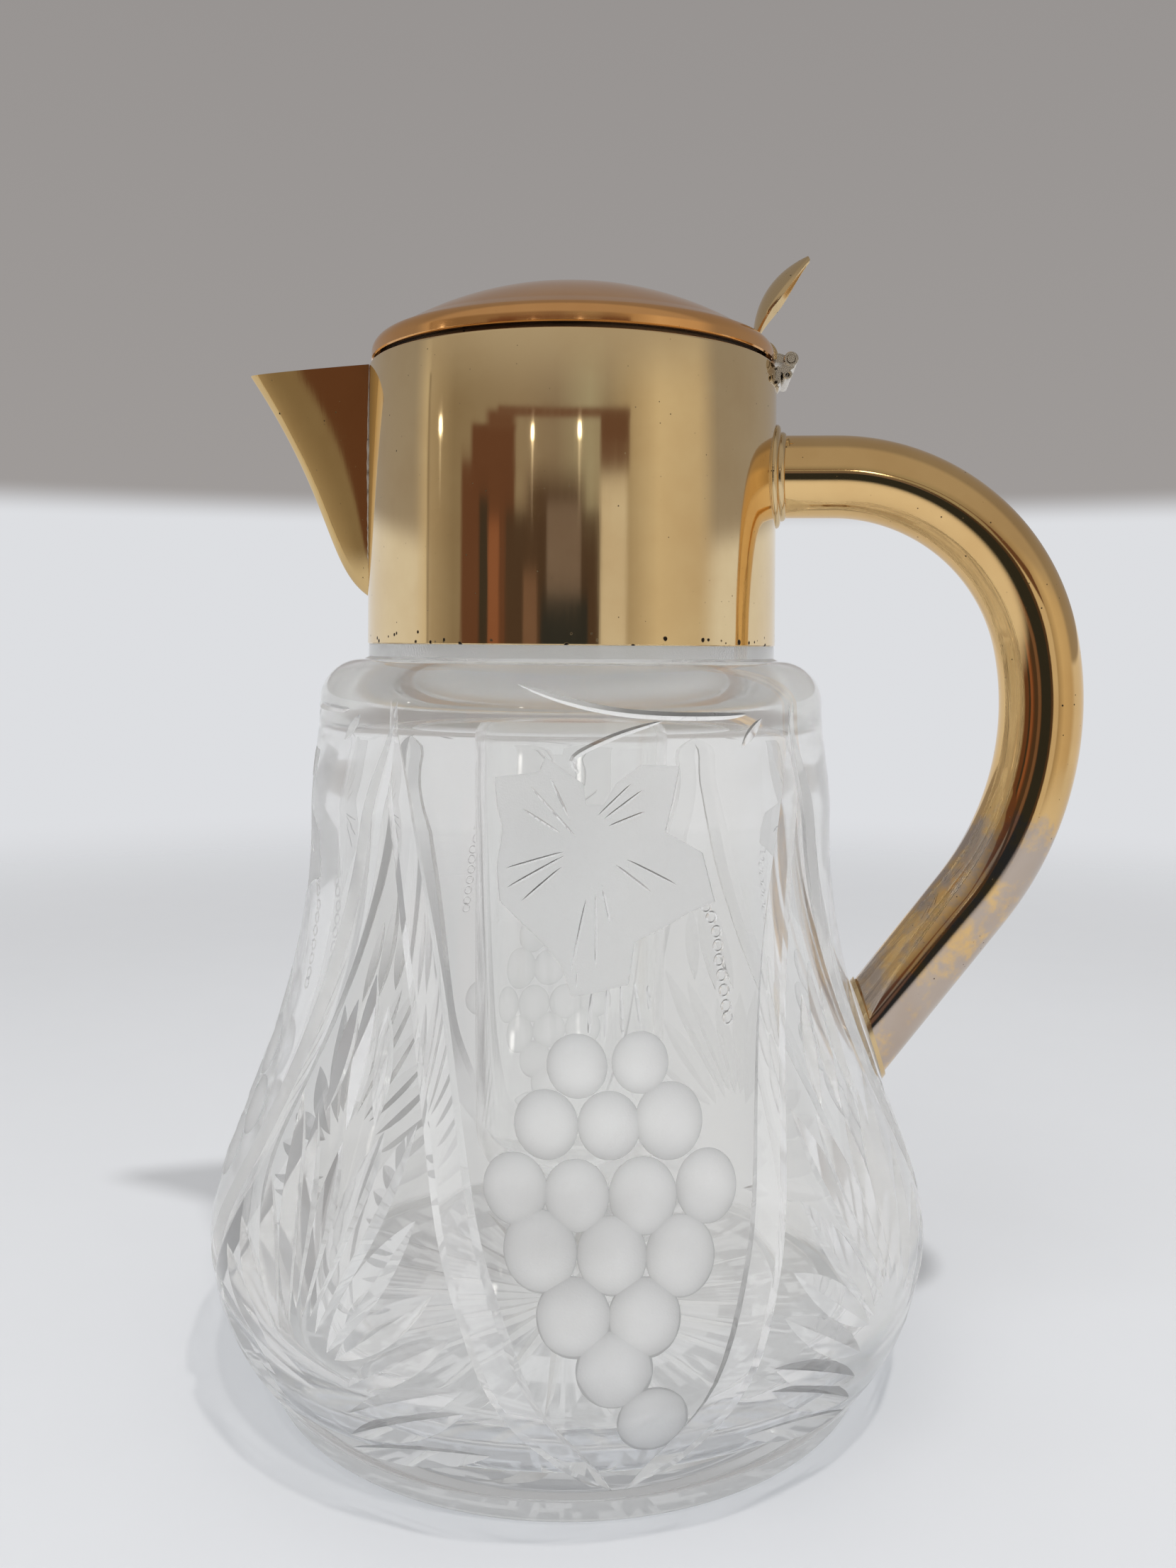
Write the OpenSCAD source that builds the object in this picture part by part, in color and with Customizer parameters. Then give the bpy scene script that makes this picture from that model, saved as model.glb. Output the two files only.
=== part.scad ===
// Lidded claret jug: cut glass body, gilt metal collar, spout, handle and hinged lid,
// and a loose glass tube for ice that hangs from a seat inside the collar.
// Millimetres. +Z is up and the origin is the centre of the flat foot.
// The spout points to -X, the handle to +X, and the lid turns about a pin along Y.

/* [Glass body] */
// Radius of the flat foot
foot_r = 75.5; // [72:0.5:78]
// Height of the plain band above the foot
foot_h = 6; // [4:0.5:8]
// Largest radius of the belly
belly_r = 89.5; // [85:0.5:94]
// Height of the largest radius above the foot
belly_z = 37; // [32:1:44]
// Radius of the narrow part above the belly
waist_r = 64.2; // [62:0.2:68]
// How far the narrow part lies below the collar
waist_drop = 40; // [34:1:48]
// Radius of the shoulder just before it turns in
shoulder_r = 61.5; // [58:0.5:63]
// Radius of the curve over the shoulder
shoulder_round = 10.5; // [8:0.5:12]
// Thickness of the glass wall
glass_wall = 7; // [4:0.5:9]
// Thickness of the glass floor
floor_t = 14; // [8:1:20]
// Rays of the star cut under the foot
star_rays = 24; // [12:2:32]
// Radius of the star
star_r = 60; // [40:1:66]
// Depth of the star at its middle
star_depth = 1.6; // [0.8:0.1:3]

/* [Cut pattern] */
// Plain panels round the body, each between two grooves that meet above and below
panels = 4; // [3:1:5]
// Turn of the first panel's middle from the front, towards the handle
panel_turn = 12.2; // [0:0.2:45]
// Depth of the grooves along the panels
groove_depth = 1.8; // [1:0.1:2.2]
// Depth of the fan's cuts between the panels
fan_depth = 2; // [1:0.1:2.4]
// Width of one of the fan's cuts
fan_cut_w = 7.4; // [5:0.2:9]

/* [Neck and collar] */
// Height of the collar's lower edge above the foot
collar_z = 180; // [176:1:190]
// Height of the collar
collar_h = 65.5; // [60:0.5:80]
// Outside radius of the collar at its lower edge
collar_r = 50; // [47:0.5:52]
// How much smaller the collar's radius is at the top
collar_taper = 1; // [0:0.1:2]
// Thickness of the collar's sheet
collar_wall = 1.2; // [0.8:0.1:2]
// How far the glass neck stands up inside the collar
neck_h = 26; // [18:1:32]
// Thickness of the glass neck
neck_wall = 7; // [4:0.5:9]
// Thickness of the cement between neck and collar
cement_t = 1.2; // [0.8:0.1:2]

/* [Spout] */
// How far the spout's lip stands out from the collar
spout_reach = 31.2; // [24:0.2:38]
// Height of the spout where it is soldered on
spout_h = 54.7; // [44:0.1:58]
// Half of the spout's width at the collar's top edge
spout_half_w = 13.6; // [10:0.2:16]
// Thickness of the spout's sheet
spout_wall = 1.1; // [0.8:0.1:1.6]
// Radius of one strainer hole
strainer_hole_r = 1.5; // [1:0.1:1.8]
// Rows of strainer holes
strainer_rows = 6; // [2:1:6]

/* [Lid] */
// How far the lid's rim stands in from the collar's top edge
lid_inset = 0.6; // [0.4:0.1:2]
// Height of the open gap between collar and lid
lid_gap = 1.2; // [0.8:0.1:2]
// Height of the lid's upright rim
lid_rim_h = 1.7; // [1:0.1:3]
// Radius of the curve from the rim to the dome
lid_edge_round = 3.4; // [2:0.1:5]
// Rise of the dome above the end of that curve
dome_rise = 13; // [8:0.5:20]
// Thickness of the lid's sheet
lid_wall = 1.1; // [0.8:0.1:1.6]
// Depth of the bezel below the lid's rim
bezel_h = 5.5; // [3:0.5:8]
// Thickness of the bezel
bezel_t = 1; // [0.8:0.1:1.5]

/* [Hinge and thumb piece] */
// Distance of the hinge pin from the collar's top edge
hinge_out = 2.9; // [2.6:0.1:3.4]
// Height of the hinge pin above the collar's top edge
hinge_rise = 1.5; // [1:0.1:2.5]
// Outside radius of the hinge knuckles
knuckle_r = 1.7; // [1.5:0.1:1.8]
// Radius of the hinge pin
pin_r = 0.9; // [0.6:0.05:1]
// Length of the whole hinge
hinge_w = 16; // [12:1:22]
// Length of the middle knuckle
middle_w = 6; // [4:0.5:8]
// Height of the thumb piece above its foot
thumb_h = 18.6; // [14:0.2:24]
// How far the thumb piece leans back
thumb_lean = 12.6; // [8:0.2:14]
// Width of the thumb piece
thumb_w = 15; // [10:0.5:20]
// Depth of the thumb piece's dish
thumb_dish = 3.8; // [1:0.2:4.4]
// Thickness of the thumb piece
thumb_t = 0.9; // [0.7:0.1:1.2]

/* [Handle] */
// Outside radius of the handle's tube
handle_r = 9.8; // [8:0.1:10.5]
// Thickness of the tube's wall
handle_wall = 1.2; // [0.8:0.1:2]
// Distance of the handle's upper end below the collar's top edge
handle_drop = 24.7; // [23:0.1:30]
// Length of the straight upper end outside the collar
handle_straight = 13.4; // [10:0.2:18]
// Radius of the upper bend, at the tube's centre
upper_bend = 50.5; // [46:0.5:54]
// Angle of the upper bend
upper_turn = 77; // [72:1:82]
// Radius of the lower bend, at the tube's centre
lower_bend = 78; // [70:1:90]
// Angle of the lower bend
lower_turn = 49; // [44:1:52]
// Radius of the plate at the handle's upper end
flange_r = 12.3; // [11.5:0.1:14]
// Thickness of the plates at both ends of the handle
flange_t = 1.1; // [0.8:0.1:1.6]
// How far the lower plate stands out round the tube
foot_lip = 0.7; // [0.4:0.1:1.5]

/* [Ice tube] */
// Outside radius of the ice tube
ice_r = 24; // [20:0.5:25]
// Thickness of the ice tube's glass
ice_wall = 2.4; // [1.8:0.1:3.5]
// Height of the ice tube's lower end above the foot
ice_z = 44; // [34:1:90]
// Radius of the ice tube's rim
ice_rim_r = 31; // [28:0.5:34]
// Thickness of that rim
ice_rim_t = 3.2; // [2:0.1:4]
// Distance of the seat's top below the collar's top edge
seat_drop = 6.6; // [6:0.1:10]
// Thickness of the seat's sheet
seat_t = 1; // [0.8:0.1:1.6]

/* [Hidden] */
// Gap between soldered or cemented pieces
solder_gap = 0.02;
// Gap between pieces that rest on each other but move
rest_gap = 0.3;
// Running gap round the hinge pin
pin_gap = 0.05;
// Play of the ice tube in its seat
seat_play = 1.2;
// Side gap between the knuckles
knuckle_gap = 0.2;
// Small overrun, so that cuts pass right through
over = 1;

collar_top = collar_z + collar_h;
function collar_r_at(z) = collar_r - collar_taper * (z - collar_z) / collar_h;
collar_top_r = collar_r_at(collar_top);
neck_top = collar_z + neck_h;
// The neck is set by the collar's inside where the neck ends
neck_r = collar_r_at(neck_top) - collar_wall - cement_t;
neck_bore = neck_r - neck_wall;
waist_z = collar_z - waist_drop;
shoulder_z = collar_z - 14;
lid_z = collar_top + lid_gap;
lid_r = collar_top_r - lid_inset;
hinge_x = collar_top_r + hinge_out;
hinge_z = collar_top + hinge_rise;
handle_x = collar_r + handle_straight;
seat_z = collar_top - seat_drop;

$fa = 3;
$fs = 0.8;

function bez(p, t) =
    pow(1 - t, 3) * p[0] + 3 * t * pow(1 - t, 2) * p[1]
    + 3 * t * t * (1 - t) * p[2] + pow(t, 3) * p[3];
function bez_points(p, n) = [for (i = [0:n]) bez(p, i / n)];
function arc_points(c, r, a0, a1, n) =
    [for (i = [0:n]) let (a = a0 + (a1 - a0) * i / n) c + r * [cos(a), sin(a)]];

// ---- Glass body ------------------------------------------------------------

foot_round = 1;
band_lean = 1.6;
band_step = 1;
curve_steps = 12;

// Curve from the band to the belly, at a distance inside the outer surface
function belly_low(inset) = [
    [foot_r + band_lean + band_step, foot_h + band_step / 2],
    [foot_r + band_lean + 6.5, foot_h + 7],
    [belly_r - inset, belly_z - 13],
    [belly_r - inset, belly_z]];
function belly_high(inset) = [
    [belly_r - inset, belly_z],
    [belly_r - inset, belly_z + 0.2136 * (waist_z - belly_z)],
    [waist_r - inset, waist_z - 0.505 * (waist_z - belly_z)],
    [waist_r - inset, waist_z]];
function neck_curve(inset) = [
    [waist_r - inset, waist_z],
    [waist_r - inset, waist_z + 10],
    [shoulder_r - inset, shoulder_z - 9],
    [shoulder_r - inset, shoulder_z]];

neck_ring_r = collar_r - 0.2;
shoulder_c = [shoulder_r - shoulder_round, shoulder_z];

outer_glass = concat(
    [[0, 0]],
    arc_points([foot_r - foot_round, foot_round], foot_round, -90, 0, 3),
    [[foot_r + band_lean, foot_h]],
    bez_points(belly_low(0), curve_steps),
    [for (i = [1:curve_steps]) bez(belly_high(0), i / curve_steps)],
    [for (i = [1:curve_steps / 2]) bez(neck_curve(0), i / (curve_steps / 2))],
    [for (a = [15:15:90])
        if (shoulder_c[0] + shoulder_round * cos(a) > neck_ring_r + 0.3)
            shoulder_c + shoulder_round * [cos(a), sin(a)]],
    [[neck_ring_r, shoulder_z + shoulder_round + 0.6],
     [neck_ring_r, collar_z - solder_gap],
     [neck_r, collar_z - solder_gap],
     [neck_r, neck_top - 1.5],
     [neck_r - 1.5, neck_top]]);

// The hollow: straight neck, rounded under the shoulder, then the body's curves
inner_shoulder_r = shoulder_r - glass_wall;
inner_round = inner_shoulder_r - neck_bore;
inner_corner = 22;
inner_glass = concat(
    [[neck_bore + 1.5, neck_top], [neck_bore, neck_top - 1.5]],
    [for (a = [90:-15:15])
        [neck_bore + inner_round * cos(a), shoulder_z - 8 + inner_round * sin(a) * 0.8]],
    [for (i = [curve_steps / 2:-1:0]) bez(neck_curve(glass_wall), i / (curve_steps / 2))
        - [0, 8 * i / (curve_steps / 2)]],
    [for (i = [curve_steps - 1:-1:0]) bez(belly_high(glass_wall), i / curve_steps)],
    arc_points([belly_r - glass_wall - inner_corner, floor_t + inner_corner],
        inner_corner, 0, -90, 8),
    [[0, floor_t]]);

// One ray pair of the star: a long shallow V with a point at each end
module star_ray() {
    half_w = star_depth * 1.3;
    polyhedron(
        points = [[-star_r, 0, -over], [0, -half_w - over, -over], [star_r, 0, -over],
                  [0, half_w + over, -over], [-star_r * 0.3, 0, star_depth],
                  [star_r * 0.3, 0, star_depth]],
        faces = [[0, 1, 2, 3], [0, 4, 1], [1, 4, 5], [1, 5, 2],
                 [2, 5, 3], [3, 5, 4], [3, 4, 0]]);
}

// Radius of the uncut glass at a height between the foot band and the shoulder
glass_line = concat(bez_points(belly_low(0), 10), [for (i = [1:40]) bez(belly_high(0), i / 40)],
    [for (i = [1:10]) bez(neck_curve(0), i / 10)]);
function glass_r_at(z) = lookup(z, [for (q = glass_line) [q[1], q[0]]]);

// A point off the glass: angle from the front, height, and distance out of the glass
function off_glass(a, z, out) =
    let (slope = (glass_r_at(z + 1) - glass_r_at(z - 1)) / 2,
         k = out / sqrt(1 + slope * slope),
         r = glass_r_at(z) + k)
    [r * sin(a), -r * cos(a), z - k * slope];

// V cut through points [angle, height, depth], with the width per depth of its two sides
cut_lift = 0.8;
module glass_cut(line, left, right) {
    n = len(line) - 1;
    loft([for (i = [0:n])
        let (a = line[i][0], z = line[i][1], d = line[i][2],
             b = line[min(n, i + 1)] - line[max(0, i - 1)],
             mm = glass_r_at(z) * PI / 180,
             way = [b[0] * mm, b[1]] / norm([b[0] * mm, b[1]]),
             side = [way[1] / mm, -way[0]])
        [off_glass(a, z, -d),
         off_glass(a + side[0] * right * (d + cut_lift), z + side[1] * right * (d + cut_lift), cut_lift),
         off_glass(a - side[0] * left * (d + cut_lift), z - side[1] * left * (d + cut_lift), cut_lift)]]);
}

// The right groove of a panel: share of the shoulder's height, of half the pitch, and of the depth
half_pitch = 180 / panels;
panel_edge = [[0.055, -0.06, -0.3], [0.075, 0.02, 0.1], [0.137, 0.16, 0.75], [0.24, 0.318, 1],
    [0.36, 0.44, 1], [0.51, 0.57, 1], [0.67, 0.745, 1], [0.843, 0.86, 0.8], [1, 1, 0.1],
    [1.025, 1.02, -0.25]];
narrow = 1.45;
wide = 3.4;

module panel_grooves() {
    for (k = [0:panels - 1], side = [-1, 1])
        glass_cut([for (q = panel_edge) [panel_turn + (2 * k + side * q[1]) * half_pitch,
                                         q[0] * shoulder_z, q[2] * groove_depth]],
                  side > 0 ? narrow : wide, side > 0 ? wide : narrow);
}

// Main cuts of a fan, from its hub outwards: shares of half the pitch and of the shoulder's height
fan_cuts = [[[0, 0.253], [0, 0.458]], [[0, 0.47], [0, 0.663]], [[0.057, 0.241], [0.278, 0.497]],
    [[0.135, 0.217], [0.434, 0.319]], [[0.168, 0.148], [0.548, 0.217]]];

module fan_cut(a, b, turn, side) {
    half = fan_cut_w / 2 / fan_depth;
    glass_cut([for (q = [[0, -0.1], [0.33, 0.9], [0.67, 0.9], [1, -0.1]])
        let (p = a + (b - a) * q[0])
        [turn + side * p[0] * half_pitch, p[1] * shoulder_z, q[1] * fan_depth]], half, half);
}

module fans() {
    for (k = [0:panels - 1], c = fan_cuts, side = c[1][0] > 0 ? [-1, 1] : [1])
        fan_cut(c[0], c[1], panel_turn + (2 * k + 1) * half_pitch, side);
}

module glass_body() {
    color([0.86, 0.9, 0.9, 0.45])
    difference() {
        rotate_extrude() polygon(concat(outer_glass, inner_glass));
        for (i = [0:star_rays / 2 - 1]) rotate(i * 360 / star_rays) star_ray();
        panel_grooves();
        fans();
    }
}

// ---- Collar, cement and seat -----------------------------------------------

// The collar's outer cone, made larger or smaller all round
module collar_cone(grow, z0 = collar_z - 20, z1 = collar_top + 20) {
    translate([0, 0, z0])
        cylinder(h = z1 - z0, r1 = collar_r_at(z0) + grow, r2 = collar_r_at(z1) + grow);
}

strainer_low = collar_top - spout_h + 13;
strainer_high = seat_z - 5;
strainer_pitch = (strainer_high - strainer_low) / max(1, strainer_rows - 1);

module strainer_holes() {
    for (row = [0:strainer_rows - 1]) {
        z = strainer_low + row * strainer_pitch;
        half = row < 2 ? 0 : 1;
        for (k = [-half:half])
            translate([0, 0, z]) rotate([0, -90, k * 4.6])
                cylinder(h = collar_r + over, r = strainer_hole_r);
    }
}

module collar() {
    color([0.83, 0.66, 0.36])
    difference() {
        collar_cone(0, collar_z, collar_top);
        collar_cone(-collar_wall, collar_z - over, collar_top + over);
        strainer_holes();
    }
}

module neck_cement() {
    color([0.85, 0.83, 0.77])
    difference() {
        collar_cone(-collar_wall - solder_gap, collar_z + 0.5, neck_top - 2);
        translate([0, 0, collar_z - over]) cylinder(h = neck_h + over, r = neck_r + solder_gap);
    }
}

seat_bore = ice_r + seat_play;
seat_lip_h = 3;

module insert_seat() {
    color([0.8, 0.66, 0.4])
    difference() {
        union() {
            collar_cone(-collar_wall - solder_gap, seat_z - seat_t, seat_z);
            translate([0, 0, seat_z - seat_lip_h])
                cylinder(h = seat_lip_h, r = seat_bore + seat_t);
        }
        translate([0, 0, seat_z - seat_lip_h - over])
            cylinder(h = seat_lip_h + 2 * over, r = seat_bore);
    }
}

// ---- Spout -------------------------------------------------------------------

// Line of the keel, as distance out from the jug's axis and height
keel = [
    [collar_r_at(collar_top - spout_h) - 0.3, collar_top - spout_h],
    [collar_r + 12, collar_top - spout_h + 6.5],
    [collar_r + 8.5, collar_top - 32.5],
    [collar_r_at(collar_top) + spout_reach, collar_top]];
keel_steps = 14;
side_steps = 8;
keel_soft = 0.16;
back_x = collar_r - 10;

// Section across the spout at one height: a V with a rounded keel
function spout_section(k, inset) =
    let (
        wall_r = collar_r_at(k[1]),
        out = max(0.02, k[0] - wall_r),
        half = spout_half_w * pow(out / spout_reach, 0.62),
        lean = atan(half / out),
        out_in = out - inset / sin(lean),
        half_in = half - inset / cos(lean),
        soft = sqrt(1 + keel_soft * keel_soft) - keel_soft)
    concat(
        [[-back_x, -half_in, k[1]]],
        [for (j = [-side_steps:side_steps])
            let (s = j / side_steps,
                 v = (sqrt(s * s + keel_soft * keel_soft) - keel_soft) / soft)
            [-(wall_r + out_in * (1 - v)) + 3 * v * v * v, half_in * s, k[1]]],
        [[-back_x, half_in, k[1]]]);

// Closed solid through a list of sections that each have the same number of points
module loft(sections) {
    m = len(sections[0]);
    n = len(sections);
    polyhedron(
        points = [for (s = sections) each s],
        faces = concat(
            [[for (i = [m - 1:-1:0]) i]],
            [for (r = [0:n - 2], i = [0:m - 1]) let (j = (i + 1) % m)
                [r * m + i, r * m + j, (r + 1) * m + j]],
            [for (r = [0:n - 2], i = [0:m - 1]) let (j = (i + 1) % m)
                [r * m + i, (r + 1) * m + j, (r + 1) * m + i]],
            [[for (i = [0:m - 1]) (n - 1) * m + i]]));
}

module spout() {
    inside_from = 4;
    color([0.83, 0.68, 0.38])
    difference() {
        loft([for (i = [0:keel_steps]) spout_section(bez(keel, 0.04 + 0.96 * i / keel_steps), 0)]);
        loft(concat(
            [for (i = [inside_from:keel_steps])
                spout_section(bez(keel, 0.04 + 0.96 * i / keel_steps), spout_wall)],
            [let (k = bez(keel, 1)) [for (q = spout_section(k, spout_wall)) q + [0, 0, over]]]));
        collar_cone(solder_gap);
    }
}

// ---- Lid ---------------------------------------------------------------------

edge_r = lid_r - lid_edge_round;
edge_z = lid_z + lid_rim_h + lid_edge_round;
dome_r = (edge_r * edge_r + dome_rise * dome_rise) / (2 * dome_rise);
dome_top = edge_z + dome_rise;

// Half outline of the lid's outer surface, moved out by a distance
function lid_outline(grow) =
    let (r = dome_r + grow, c = dome_top - dome_r, lean = asin(edge_r / dome_r))
    concat(
        [[lid_r + grow, lid_z - max(0, grow)], [lid_r + grow, lid_z + lid_rim_h]],
        [for (a = [15:15:90 - lean]) [edge_r, edge_z - lid_edge_round]
            + (lid_edge_round + grow) * [cos(a), sin(a)]],
        [for (i = [0:14]) let (a = lean * (1 - i / 14)) [r * sin(a), c + r * cos(a)]]);

module lid_solid(grow) {
    rotate_extrude()
        polygon(concat([[0, lid_z - max(0, grow)]], lid_outline(grow)));
}

module lid() {
    color([0.8, 0.55, 0.28])
    rotate_extrude()
        polygon(concat(
            lid_outline(0),
            [for (p = [for (i = [len(lid_outline(-lid_wall)) - 1:-1:0]) lid_outline(-lid_wall)[i]])
                p[0] < 0.01 ? [0, p[1]] : p]));
}

bezel_r = collar_top_r - collar_wall - 1.5;

module lid_bezel() {
    color([0.78, 0.62, 0.36])
    difference() {
        translate([0, 0, lid_z - bezel_h])
            cylinder(h = bezel_h + lid_rim_h, r = bezel_r);
        translate([0, 0, lid_z - bezel_h - over])
            cylinder(h = bezel_h + lid_rim_h + 2 * over, r = bezel_r - bezel_t);
    }
    color([0.78, 0.62, 0.36])
    translate([0, 0, lid_z])
    difference() {
        cylinder(h = 0.8, r = lid_r - lid_wall - solder_gap);
        translate([0, 0, -over]) cylinder(h = 0.8 + 2 * over, r = bezel_r - bezel_t / 2);
    }
}

// ---- Hinge and thumb piece -----------------------------------------------------

strap_w = middle_w;
strap_t = 1;
strap_x = lid_r - 10.4;
thumb_x = lid_r - 5.2;

module pin_hole(r) {
    translate([hinge_x, hinge_w / 2 + over, hinge_z]) rotate([90, 0, 0])
        cylinder(h = hinge_w + 2 * over, r = r);
}

module knuckle(y0, y1) {
    translate([hinge_x, y1, hinge_z]) rotate([90, 0, 0]) cylinder(h = y1 - y0, r = knuckle_r);
}

// Strap soldered over the lid's edge, with the middle knuckle at its end
module lid_hinge_leaf() {
    color([0.74, 0.66, 0.5])
    difference() {
        union() {
            intersection() {
                lid_solid(strap_t);
                translate([strap_x, -strap_w / 2, lid_z + 1])
                    cube([hinge_x - strap_x, strap_w, 30]);
            }
            knuckle(-strap_w / 2, strap_w / 2);
            translate([lid_r - 1, -strap_w / 2, hinge_z]) cube([hinge_x - lid_r + 1, strap_w, knuckle_r]);
        }
        lid_solid(solder_gap);
        pin_hole(pin_r + pin_gap);
    }
}

// Plate soldered to the collar's top edge, with the two outer knuckles
module collar_hinge_leaf() {
    plate_h = 5.2;
    plate_in = 5;
    color([0.66, 0.6, 0.5])
    difference() {
        union() {
            for (side = [-1, 1])
                knuckle(side > 0 ? middle_w / 2 + knuckle_gap : -hinge_w / 2,
                        side > 0 ? hinge_w / 2 : -middle_w / 2 - knuckle_gap);
            intersection() {
                translate([collar_top_r - plate_in, -hinge_w / 2, hinge_z - knuckle_r - plate_h + 1])
                    cube([hinge_out + plate_in, hinge_w, plate_h]);
                translate([0, 0, hinge_z - knuckle_r - plate_h])
                    cylinder(h = plate_h * 2, r = hinge_x + 0.2);
            }
        }
        collar_cone(solder_gap);
        pin_hole(pin_r + solder_gap);
        translate([hinge_x, middle_w / 2 + knuckle_gap, hinge_z]) rotate([90, 0, 0])
            cylinder(h = middle_w + 2 * knuckle_gap, r = knuckle_r + rest_gap);
    }
}

module hinge_pin() {
    color([0.6, 0.57, 0.5])
    translate([hinge_x, hinge_w / 2 + 0.3, hinge_z]) rotate([90, 0, 0])
        cylinder(h = hinge_w + 0.6, r = pin_r);
}

thumb_foot_z = dome_top - dome_r + sqrt(dome_r * dome_r - thumb_x * thumb_x) + strap_t;
thumb_line = [
    [thumb_x, thumb_foot_z],
    [thumb_x + 0.2, thumb_foot_z + thumb_h * 0.5],
    [thumb_x + thumb_lean * 0.42, thumb_foot_z + thumb_h * 0.82],
    [thumb_x + thumb_lean, thumb_foot_z + thumb_h]];
thumb_steps = 12;
thumb_across = 4;

// One crosswise row of the leaf: dished across, and as wide as a leaf is there
function thumb_row(s, t) =
    let (
        p = bez(thumb_line, s),
        q = bez(thumb_line, min(1, s + 0.01)) - bez(thumb_line, min(1, s + 0.01) - 0.01),
        n = [q[1], -q[0]] / norm(q),
        half = thumb_w / 2 * sin(180 * (0.17 + 0.79 * s)),
        dish = thumb_dish * sin(180 * (0.05 + 0.9 * s)))
    [for (j = [-thumb_across:thumb_across])
        let (u = j / thumb_across, c = p + n * (dish * u * u + t)) [c[0], half * u, c[1]]];

module thumb_piece() {
    color([0.76, 0.62, 0.38])
    loft([for (i = [0:thumb_steps]) let (s = i / thumb_steps)
        concat(thumb_row(s, 0),
               [for (k = [2 * thumb_across:-1:0]) thumb_row(s, thumb_t)[k]])]);
}

// ---- Handle --------------------------------------------------------------------

handle_z = collar_top - handle_drop;
bend_1 = [handle_x, handle_z - upper_bend];
turn_1 = 90 - upper_turn;
bend_2 = bend_1 + (upper_bend - lower_bend) * [cos(turn_1), sin(turn_1)];
turn_2 = turn_1 - lower_turn;
low_start = bend_2 + lower_bend * [cos(turn_2), sin(turn_2)];
joint_w = 0.4;
joint_proud = 0.03;

// Where the middle of the straight lower stretch meets the glass
bar_max = 1.3 * handle_drop + 0.6 * belly_r;
function bar_point(t) = low_start + t * [sin(turn_2), -cos(turn_2)];
bar_hits = [for (t = [0:bar_max / 200:bar_max])
    if (bar_point(t)[0] < glass_r_at(bar_point(t)[1])) bar_point(t)[1]];
bar_hit = len(bar_hits) > 0 ? bar_hits[0] : belly_z;

// The lower plate lies along the glass: two heights on the glass give its slope
plate_z0 = bar_hit - handle_r;
plate_z1 = bar_hit + 1.45 * handle_r;
plate_a = [glass_r_at(plate_z0), plate_z0];
plate_b = [glass_r_at(plate_z1), plate_z1];
plate_tilt = atan((plate_a[0] - plate_b[0]) / (plate_z1 - plate_z0));

// Moves a thing so that its X axis points out of the glass at the lower plate
module at_plate(out) {
    translate([plate_a[0], 0, plate_a[1]]) rotate([0, -plate_tilt, 0]) translate([out, 0, 0])
        children();
}

module outside_plate(out) {
    at_plate(out) translate([0, -2 * handle_r, -belly_r])
        cube([2 * belly_r, 4 * handle_r, 4 * belly_r]);
}

// Cross-section of the handle's tube
module tube_ring(grow = 0) {
    difference() {
        circle(r = handle_r + grow);
        circle(r = handle_r - handle_wall - grow);
    }
}

// One quarter-like bend of the tube about a centre in the jug's middle plane
module tube_bend(centre, radius, from, turn) {
    rotate([90, 0, 0]) translate(centre) rotate(from) rotate_extrude(angle = turn)
        translate([radius, 0]) tube_ring();
}

// Low soldered ring that hides the joint between two stretches of the tube
module tube_joint(at, lean) {
    translate([at[0], 0, at[1]]) rotate([0, lean, 0])
        linear_extrude(height = joint_w, center = true) tube_ring(joint_proud);
}

// The straight lower stretch, long enough to pass into the glass
module low_bar(r) {
    translate([low_start[0], 0, low_start[1]]) rotate([0, 180 - turn_2, 0])
        cylinder(h = bar_max, r = r);
}

module handle() {
    color([0.82, 0.66, 0.36]) {
        difference() {
            translate([collar_r - flange_r, 0, handle_z]) rotate([0, 90, 0])
                linear_extrude(height = handle_straight + flange_r) tube_ring();
            collar_cone(solder_gap + flange_t);
        }
        tube_joint([handle_x, handle_z], 90);
        tube_bend(bend_1, upper_bend, turn_1, upper_turn);
        tube_joint(bend_1 + upper_bend * [cos(turn_1), sin(turn_1)], 180 - turn_1);
        tube_bend(bend_2, lower_bend, turn_2, lower_turn);
        tube_joint(low_start, 180 - turn_2);
        intersection() {
            difference() {
                low_bar(handle_r);
                low_bar(handle_r - handle_wall);
            }
            outside_plate(rest_gap + flange_t + solder_gap);
        }
    }
}

// Saddle plate that spreads the handle's upper end over the collar
module handle_flange() {
    color([0.8, 0.68, 0.42])
    difference() {
        intersection() {
            translate([collar_r - flange_r, 0, handle_z]) rotate([0, 90, 0])
                cylinder(h = 2 * flange_r, r = flange_r);
            collar_cone(flange_t);
        }
        collar_cone(solder_gap);
    }
}

// Plate that closes the tube's lower end and leans on the glass
module handle_foot() {
    color([0.76, 0.72, 0.62])
    difference() {
        intersection() {
            low_bar(handle_r + foot_lip);
            outside_plate(rest_gap);
        }
        outside_plate(rest_gap + flange_t);
    }
}

// ---- Ice tube ------------------------------------------------------------------

ice_rim_z = seat_z + rest_gap;
ice_round = 14;

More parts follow.
